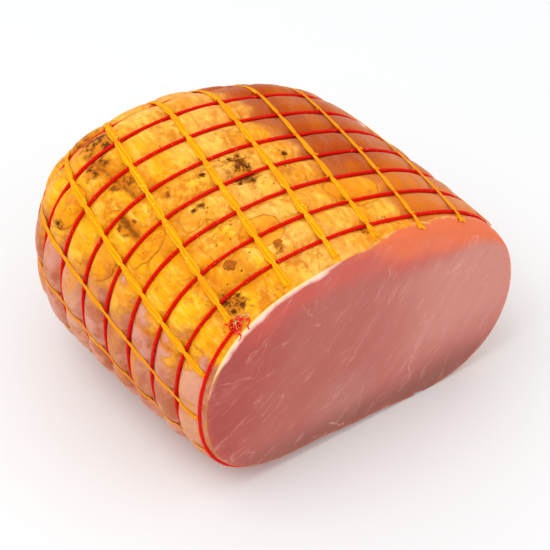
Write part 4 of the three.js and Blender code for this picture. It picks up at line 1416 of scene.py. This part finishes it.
@dataclass
class Strings:
    """The yellow strings: flat bands over the hoops, drawn in at each crossing, with frayed ends."""

    skin: Skin
    tree: CordTree
    finish: bpy.types.Material
    step: float = 0.035
    half_thickness: float = 0.24
    wide: float = 1.36
    narrow: float = 0.84
    pinch: float = 0.34
    pinch_length: float = 1.5
    wedge: float = 0.46
    over_hoop: float = 0.48
    gap: float = 0.05
    low: float = 0.7
    past_tuft: float = 5.2
    past_hoop: float = 4.2
    lobe_radius: float = 0.85
    knot_length: tuple = (0.9, 1.9)
    knot_radius: float = 0.42
    knot_steps: int = 8
    fibres: int = 5
    fibre_radius: float = 0.14
    splay_above: float = 30.0
    splay_left: float = 52.0
    right_edge: float = math.radians(38)
    knots_from: float = math.radians(36)
    knots_to: float = math.radians(84)
    seed: int = 5

    def start(self, k: int) -> float:
        """Reach at which the band of string number k starts."""
        start = float(self.skin.net.form.outline.angle_at(self.skin.net.string_length(k, 0.0)))
        if abs(start - math.radians(138.5)) < 0.16:
            return self.past_tuft
        if start < self.right_edge or start > math.radians(135):
            return self.past_hoop
        return TAILS.get(k, PLAIN_TAIL).stop

    def lift(self, angle: np.ndarray, reach: np.ndarray, n: np.ndarray) -> np.ndarray:
        """Height of the middle of the band above the swept section."""
        skin = self.skin
        hump = self.over_hoop * np.exp(-((skin.net.to_hoop(angle, reach) / 3.2) ** 2)) * smoothstep(0.3, 0.8, n)
        bed = np.maximum(skin.relief(angle, reach) + self.gap, hump)
        bed = np.maximum(bed, (self.over_hoop + 0.15) * smoothstep(0.4, 0.9, n))
        return bed + self.half_thickness - skin.edge_drop(angle, reach)

    def band(self, k: int) -> Path:
        """Path of the band of string number k."""
        net = self.skin.net
        start = float(net.hoop_number(net.form.outline.angle_at(net.string_length(k, self.start(k))), self.start(k)))
        n = np.arange(start, net.string_end, self.step)
        angle, reach = net.crossing(k, n)
        centre = net.form.offset(angle, reach, self.lift(angle, reach, n))
        centre[:, 2] = np.maximum(centre[:, 2], self.low)
        ways = np.gradient(centre, axis=0)
        ways /= np.linalg.norm(ways, axis=1, keepdims=True)
        out = net.form.directions(angle, reach)[0]
        across = np.cross(out, ways)
        across /= np.linalg.norm(across, axis=1, keepdims=True)
        degrees = np.degrees(angle)
        share = smoothstep(60, 85, degrees) * smoothstep(172, 150, degrees)
        width = self.narrow + (self.wide - self.narrow) * share
        width = width * (1 - self.pinch * np.exp(-((net.to_hoop(angle, reach) / self.pinch_length) ** 2)))
        width = width * (1 + self.wedge * (0.5 - n + np.floor(n)))
        width = width * (1 + 0.12 * soft_noise(centre, 11.0, 61 + k) + 0.14 * soft_noise(centre, 2.6, 81 + k))
        stained = 0.75 * (1 - share) * (0.6 + 0.4 * soft_noise(centre, 14.0, 71))
        return Path(centre, out, across, width, np.full(len(n), self.half_thickness), np.clip(stained, 0, 1))

    def splay(self, k: int, band: Path, random: np.random.Generator) -> list[Path]:
        """Lobes and loose fibres at the front end of a string."""
        tail = TAILS.get(k, PLAIN_TAIL)
        back = band.centre[0] - band.centre[5]
        back /= np.linalg.norm(back)
        out, across = band.out[0], band.across[0]
        paths = []
        for i in range(tail.lobes + self.fibres):
            is_lobe = i < tail.lobes
            spread = (2 * i / max(tail.lobes - 1, 1) - 1) * 0.3 if is_lobe else random.uniform(-0.9, 0.9)
            length = tail.length * (random.uniform(0.75, 1) if is_lobe else random.uniform(0.5, 1.1))
            radius = self.lobe_radius if is_lobe else self.fibre_radius
            share = np.linspace(0, 1, 12)
            way = back * math.cos(spread) + across * math.sin(spread)
            centre = band.centre[0] + np.outer(share * length, way) + across * spread * 0.6
            droop = share * share * random.uniform(0.1, 0.5) * length * 0.3
            centre = centre - np.outer(droop, out) + np.outer(0.3 * np.sin(5 * share + i), across)
            flat = np.ones(12)
            side = np.cross(out, way)
            size = radius * (1 - 0.55 * share**2) * (1 + 0.15 * np.sin(9 * share + i))
            paths.append(Path(centre, np.outer(flat, out), np.outer(flat, side), size, size * 0.55, 0 * flat))
        return paths

    def knots(self, k: int, random: np.random.Generator) -> list[Path]:
        """Small curled knots where string number k crosses the hoops on the lean."""
        net = self.skin.net
        paths = []
        for n in range(1, 9):
            angle, reach = net.crossing(k, np.array([float(n)]))
            if not self.knots_from < angle[0] < self.knots_to:
                continue
            centre = net.form.offset(angle, reach, self.lift(angle, reach, np.array([float(n)])) + 0.1)[0]
            out, along, across = (way[0] for way in net.form.directions(angle, reach))
            turn = random.uniform(-0.9, 0.9) + random.choice([0.0, math.pi])
            way = across * math.cos(turn) + along * math.sin(turn)
            share = np.linspace(0, 1, self.knot_steps)
            length = random.uniform(*self.knot_length)
            bow = 0.3 * np.sin(math.pi * share)
            points = centre + np.outer(share * length, way) + np.outer(bow, out)
            size = self.knot_radius * (1 - 0.3 * share)
            flat = np.ones(self.knot_steps)
            side = np.cross(out, way)
            paths.append(Path(points, np.outer(flat, out), np.outer(flat, side), size, size, 0 * flat))
        return paths

    def build(self) -> None:
        """Builds all strings."""
        random = np.random.default_rng(self.seed)
        for k in range(self.skin.net.strings):
            band = self.band(k)
            name = f"yellow_band_{k + 1:02d}"
            pieces = [cord_object(name, [band], BAND, self.tree, self.finish)]
            if band.centre[0, 2] > self.splay_above and band.centre[0, 0] < self.splay_left:
                pieces.append(cord_object("splay", self.splay(k, band, random), STRAND, self.tree, self.finish))
            knots = self.knots(k, random)
            if knots:
                pieces.append(cord_object("knots", knots, STRAND, self.tree, self.finish))
            report(join(pieces), "yellow_string", f"yellow_string_{k + 1:02d}")


class GrainSource(Enum):
    """Where grains grow: on the vertices of a mesh, or scattered over its faces by a mask."""

    SPOTS = "spots"
    FACES = "faces"


class GrainTree:
    """A geometry tree that sets crumbled grains on a mesh, each with its own size, turn and shade."""

    inputs = [
        ("Geometry", "NodeSocketGeometry", None),
        ("Density", "NodeSocketFloat", 20000.0),
        ("Smallest", "NodeSocketFloat", 0.0003),
        ("Largest", "NodeSocketFloat", 0.0007),
        ("Flatness", "NodeSocketFloat", 0.7),
        ("Detail", "NodeSocketInt", 1),
        ("Seed", "NodeSocketInt", 1),
        ("Material", "NodeSocketMaterial", None),
    ]

    def __init__(self, source: GrainSource) -> None:
        """Builds the tree for one source of grains."""
        ends = [("Geometry", "NodeSocketGeometry")]
        nodes, given, end = new_tree(f"grains_on_{source.value}", "GeometryNodeTree", self.inputs, ends)
        if source is GrainSource.FACES:
            mask = CordTree.named(nodes, "FLOAT", "spice")
            density = nodes.math("MULTIPLY", nodes.math("MULTIPLY", mask, mask), given["Density"])
            inputs = {"Mesh": given["Geometry"], "Density": density, "Seed": given["Seed"]}
            points = nodes.add("GeometryNodeDistributePointsOnFaces", inputs).outputs["Points"]
        else:
            points = nodes.add("GeometryNodeMeshToPoints", {"Mesh": given["Geometry"]}).outputs["Points"]
        if source is GrainSource.FACES:
            shade = nodes.add("FunctionNodeRandomValue", {"Seed": given["Seed"]}, data_type="FLOAT").outputs[1]
            points = CordTree.store(nodes, points, "FLOAT", "shade", shade)
        ball = nodes.add("GeometryNodeMeshIcoSphere", {"Radius": 1.0, "Subdivisions": given["Detail"]}).outputs["Mesh"]
        dent = nodes.add("ShaderNodeTexNoise", {"Scale": 1.7, "Detail": 1.0}).outputs["Color"]
        dent = nodes.scaled(nodes.vector("SUBTRACT", dent, (0.5, 0.5, 0.5)), 1.3)
        ball = nodes.add("GeometryNodeSetPosition", {"Geometry": ball, "Offset": dent}).outputs["Geometry"]
        turn_inputs = {"Min": (0.0, 0.0, 0.0), "Max": (TURN, TURN, TURN), "Seed": given["Seed"]}
        turn = nodes.add("FunctionNodeRandomValue", turn_inputs, data_type="FLOAT_VECTOR").outputs[0]
        if source is GrainSource.SPOTS:
            upright = {"Vector": CordTree.named(nodes, "FLOAT_VECTOR", "out")}
            turn = nodes.add("FunctionNodeAlignRotationToVector", upright, axis="Z").outputs["Rotation"]
        size_node = nodes.add("FunctionNodeRandomValue", data_type="FLOAT")
        nodes.feed(size_node.inputs[2], given["Smallest"])
        nodes.feed(size_node.inputs[3], given["Largest"])
        size = size_node.outputs[1]
        if source is GrainSource.SPOTS:
            size = CordTree.named(nodes, "FLOAT", "size")
        flat = nodes.math("MULTIPLY", size, given["Flatness"])
        scale = nodes.add("ShaderNodeCombineXYZ", {"X": size, "Y": size, "Z": flat}).outputs["Vector"]
        inputs = {"Points": points, "Instance": ball, "Rotation": turn, "Scale": scale}
        grains = nodes.add("GeometryNodeInstanceOnPoints", inputs).outputs["Instances"]
        grains = nodes.add("GeometryNodeRealizeInstances", {"Geometry": grains}).outputs["Geometry"]
        inputs = {"Geometry": grains, "Material": given["Material"]}
        nodes.feed(end.inputs["Geometry"], nodes.add("GeometryNodeSetMaterial", inputs).outputs["Geometry"])
        self.tree = nodes.tree


@dataclass(frozen=True)
class Cluster:
    """A place where coarse bits of pepper or garlic lie: angle in degrees, reach and how many."""

    angle: float
    reach: float
    bits: int
    shade: float = 0.15


@dataclass(frozen=True)
class Bit:
    """A coarse bit of spice: its place, the way out of the skin there, its radius and its shade."""

    place: np.ndarray
    out: np.ndarray
    radius: float
    shade: float


CLUSTERS = (
    Cluster(98.3, 54.7, 4),
    Cluster(101.7, 47.6, 3),
    Cluster(109.0, 54.5, 1),
    Cluster(81.2, 52.2, 1),
    Cluster(119.5, 48.8, 1),
    Cluster(111.9, 17.1, 1, 1.0),
    Cluster(127.5, 19.6, 1, 0.9),
    Cluster(134.5, 8.4, 4),
    Cluster(151.3, 85.9, 1),
)


@dataclass
class Spice:
    """The spice on the fat: coarse bits at the solids' own places, and finer grains round them."""

    skin: Skin
    effects: Effects
    spread: float = 3.4
    least: float = 0.9
    most: float = 1.4
    sunk: float = 0.35
    shrunk: float = 0.95
    husk_size: float = 1.75
    gap: float = 0.3
    string_width: float = 2.6
    string_inset: float = 0.8
    tries: int = 60
    seed: int = 7
    stepping: tuple = (16807, 2147483647)

    def is_clear(self, angle: float, reach: float, distance: float) -> bool:
        """Whether a place is clear of every cord by a distance."""
        net = self.skin.net
        n = float(net.hoop_number(np.array(angle), reach))
        if abs(n - round(n)) * net.hoop_pitch - net.hoop_radius < distance or reach < self.string_inset + distance:
            return False
        here = net.form.plain(angle, reach)
        for k in range(net.strings):
            near = net.form.outline.angle_at(net.string_length(k, reach))
            if np.linalg.norm(net.form.plain(near, reach) - here) < distance + self.string_width / 2:
                return False
        return True

    def coarse_bits(self) -> list[Bit]:
        """Every coarse bit, drawn in the same order as the solids' own."""
        state = self.seed

        def draw() -> float:
            """The next repeatable number from 0 to 1."""
            nonlocal state
            state = state * self.stepping[0] % self.stepping[1]
            return state / self.stepping[1]

        bits = []
        for cluster in CLUSTERS:
            left = cluster.bits
            for attempt in range(self.tries):
                if not left:
                    break
                radius = self.least + (self.most - self.least) * draw()
                spread = self.spread if cluster.bits > 1 or attempt else 0.0
                reach = cluster.reach + spread * (2 * draw() - 1)
                angle = math.radians(cluster.angle) + spread / self.skin.net.form.outline.mean_radius * (2 * draw() - 1)
                lift = self.skin.relief(np.array(angle), np.array(reach)) - self.sunk * radius
                place = self.skin.net.form.offset(np.array(angle), np.array(reach), lift)
                crowded = any(np.linalg.norm(other.place - place) < other.radius + radius for other in bits)
                if crowded or not self.is_clear(angle, reach, radius + self.gap):
                    continue
                draw()
                draw()
                out = self.skin.net.form.directions(np.array(angle), np.array(reach))[0]
                bits.append(Bit(place, out, radius, cluster.shade))
                left -= 1
        return bits

    def build(self, bits: list, meat: bpy.types.Object) -> None:
        """Builds the coarse bits, and the fine grains on the meat."""
        pepper = GrainFinish("cracked_pepper", colour(74, 40, 10), colour(214, 112, 14), 0.6).build(self.effects)
        garlic = GrainFinish("garlic_granules", colour(176, 96, 20), colour(246, 196, 96), 0.4).build(self.effects)
        mesh = bpy.data.meshes.new("bits")
        mesh.from_pydata([bit.place * MM for bit in bits], [], [])
        shades = np.array([bit.shade for bit in bits])
        sizes = np.array([bit.radius for bit in bits]) * np.where(shades > 0.5, self.husk_size, self.shrunk)
        add_attribute(mesh, "shade", shades)
        add_attribute(mesh, "size", sizes * MM)
        add_attribute(mesh, "out", np.array([bit.out for bit in bits]))
        values = {"Flatness": 0.55, "Detail": 3, "Seed": 3, "Material": pepper}
        report(grow(add_object("pepper_bits", mesh), GrainTree(GrainSource.SPOTS).tree, values), "cured_meat")
        faces = GrainTree(GrainSource.FACES).tree
        for name, material, density, sizes, seed in (
            ("ground_pepper", pepper, 460000.0, (0.12, 0.42), 11),
            ("garlic_grains", garlic, 220000.0, (0.2, 0.55), 29),
        ):
            values = {"Density": density, "Smallest": sizes[0] * MM, "Largest": sizes[1] * MM}
            values |= {"Flatness": 0.6, "Detail": 1, "Seed": seed, "Material": material}
            report(grow(add_object(name, meat.data.copy()), faces, values), "cured_meat")


@dataclass(frozen=True)
class Studio:
    """A pale floor, soft light from above and the camera at the photograph's viewing angle."""

    azimuth: float = math.radians(-33.75)
    elevation: float = math.radians(43.77)
    distance: float = 561.25
    target: tuple = (2.077, -14.976, 40.0)
    lens: float = 93.8
    sensor: float = 36.0
    floor_size: float = 6.0
    floor: tuple = colour(239, 241, 242)
    sky: tuple = (1.0, 1.0, 1.0, 1.0)
    sky_strength: float = 0.89

    def camera(self) -> None:
        """Places the camera."""
        back = Vector((
            math.sin(self.azimuth) * math.cos(self.elevation),
            -math.cos(self.azimuth) * math.cos(self.elevation),
            math.sin(self.elevation),
        ))
        data = bpy.data.cameras.new("camera")
        data.lens = self.lens
        data.sensor_width = self.sensor
        made = bpy.data.objects.new("camera", data)
        made.location = (Vector(self.target) + back * self.distance) * MM
        made.rotation_euler = (-back).to_track_quat("-Z", "Y").to_euler()
        bpy.context.scene.collection.objects.link(made)
        bpy.context.scene.camera = made

    def light(self, name: str, place: tuple, size: float, power: float) -> None:
        """Adds a soft light that shines at the origin."""
        data = bpy.data.lights.new(name, "AREA")
        data.shape = "DISK"
        data.size = size
        data.energy = power
        made = bpy.data.objects.new(name, data)
        made.location = place
        made.rotation_euler = (-Vector(place)).to_track_quat("-Z", "Y").to_euler()
        bpy.context.scene.collection.objects.link(made)

    def build(self) -> None:
        """Builds the floor, the lights and the camera."""
        half = self.floor_size / 2
        mesh = bpy.data.meshes.new("floor")
        mesh.from_pydata([(-half, -half, 0), (half, -half, 0), (half, half, 0), (-half, half, 0)], [], [(0, 1, 2, 3)])
        material, nodes, shader = start_material("pale_floor")
        cloud = nodes.add("ShaderNodeTexNoise", {"Vector": nodes.place(), "Scale": 1.5}).outputs["Fac"]
        shade = nodes.mix(nodes.math("MULTIPLY", cloud, 0.04), self.floor, CLEAR)
        nodes.feed(shader.inputs["Base Color"], shade)
        shader.inputs["Roughness"].default_value = 0.9
        shader.inputs["Specular IOR Level"].default_value = 0.1
        mesh.materials.append(material)
        add_object("floor", mesh)
        world = bpy.data.worlds.new("studio")
        world.use_nodes = True
        background = world.node_tree.nodes["Background"]
        background.inputs["Color"].default_value = self.sky
        background.inputs["Strength"].default_value = self.sky_strength
        bpy.context.scene.world = world
        bpy.context.scene.view_settings.view_transform = "Standard"
        self.light("key", (-0.5, 0.05, 1.1), 0.9, 5.0)
        self.light("fill", (0.5, -1.0, 0.5), 0.9, 1.8)
        self.camera()


def main() -> None:
    """Builds every piece in order and reports it."""
    logging.basicConfig(level=logging.INFO, format="%(name)s: %(message)s")
    effects = Effects()
    skin = Skin()
    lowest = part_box("meat")[0]
    LOG.info("cut face at %.3f mm, expected %.3f mm", lowest.y / MM, skin.net.form.shift[1])
    spice = Spice(skin, effects)
    bits = spice.coarse_bits()
    meat = Meat(skin, effects, bits).build()
    tree = CordTree()
    red = CordFinish("red_elastic", colour(236, 16, 2), colour(196, 6, 0), colour(220, 22, 4), 0.4, 0.06, colour(255, 92, 70)).build(effects)
    core = CordFinish("pale_core", colour(248, 222, 170), colour(220, 170, 100), colour(240, 190, 110), 0.5, 0.1, colour(255, 244, 214)).build(effects)
    gold = CordFinish("yellow_string", colour(255, 180, 8), colour(240, 140, 0), colour(232, 128, 18), 0.6, 0.06, colour(255, 216, 90)).build(effects)
    fray = CordFinish("frayed_red", colour(255, 62, 42), colour(240, 30, 14), colour(250, 70, 44), 0.5, 0.08, colour(255, 150, 126)).build(effects)
    Elastic(skin, tree, red, fray, core).build()
    Strings(skin, tree, gold).build()
    spice.build(bits, meat)
    Studio().build()


if __name__ == "__main__":
    main()
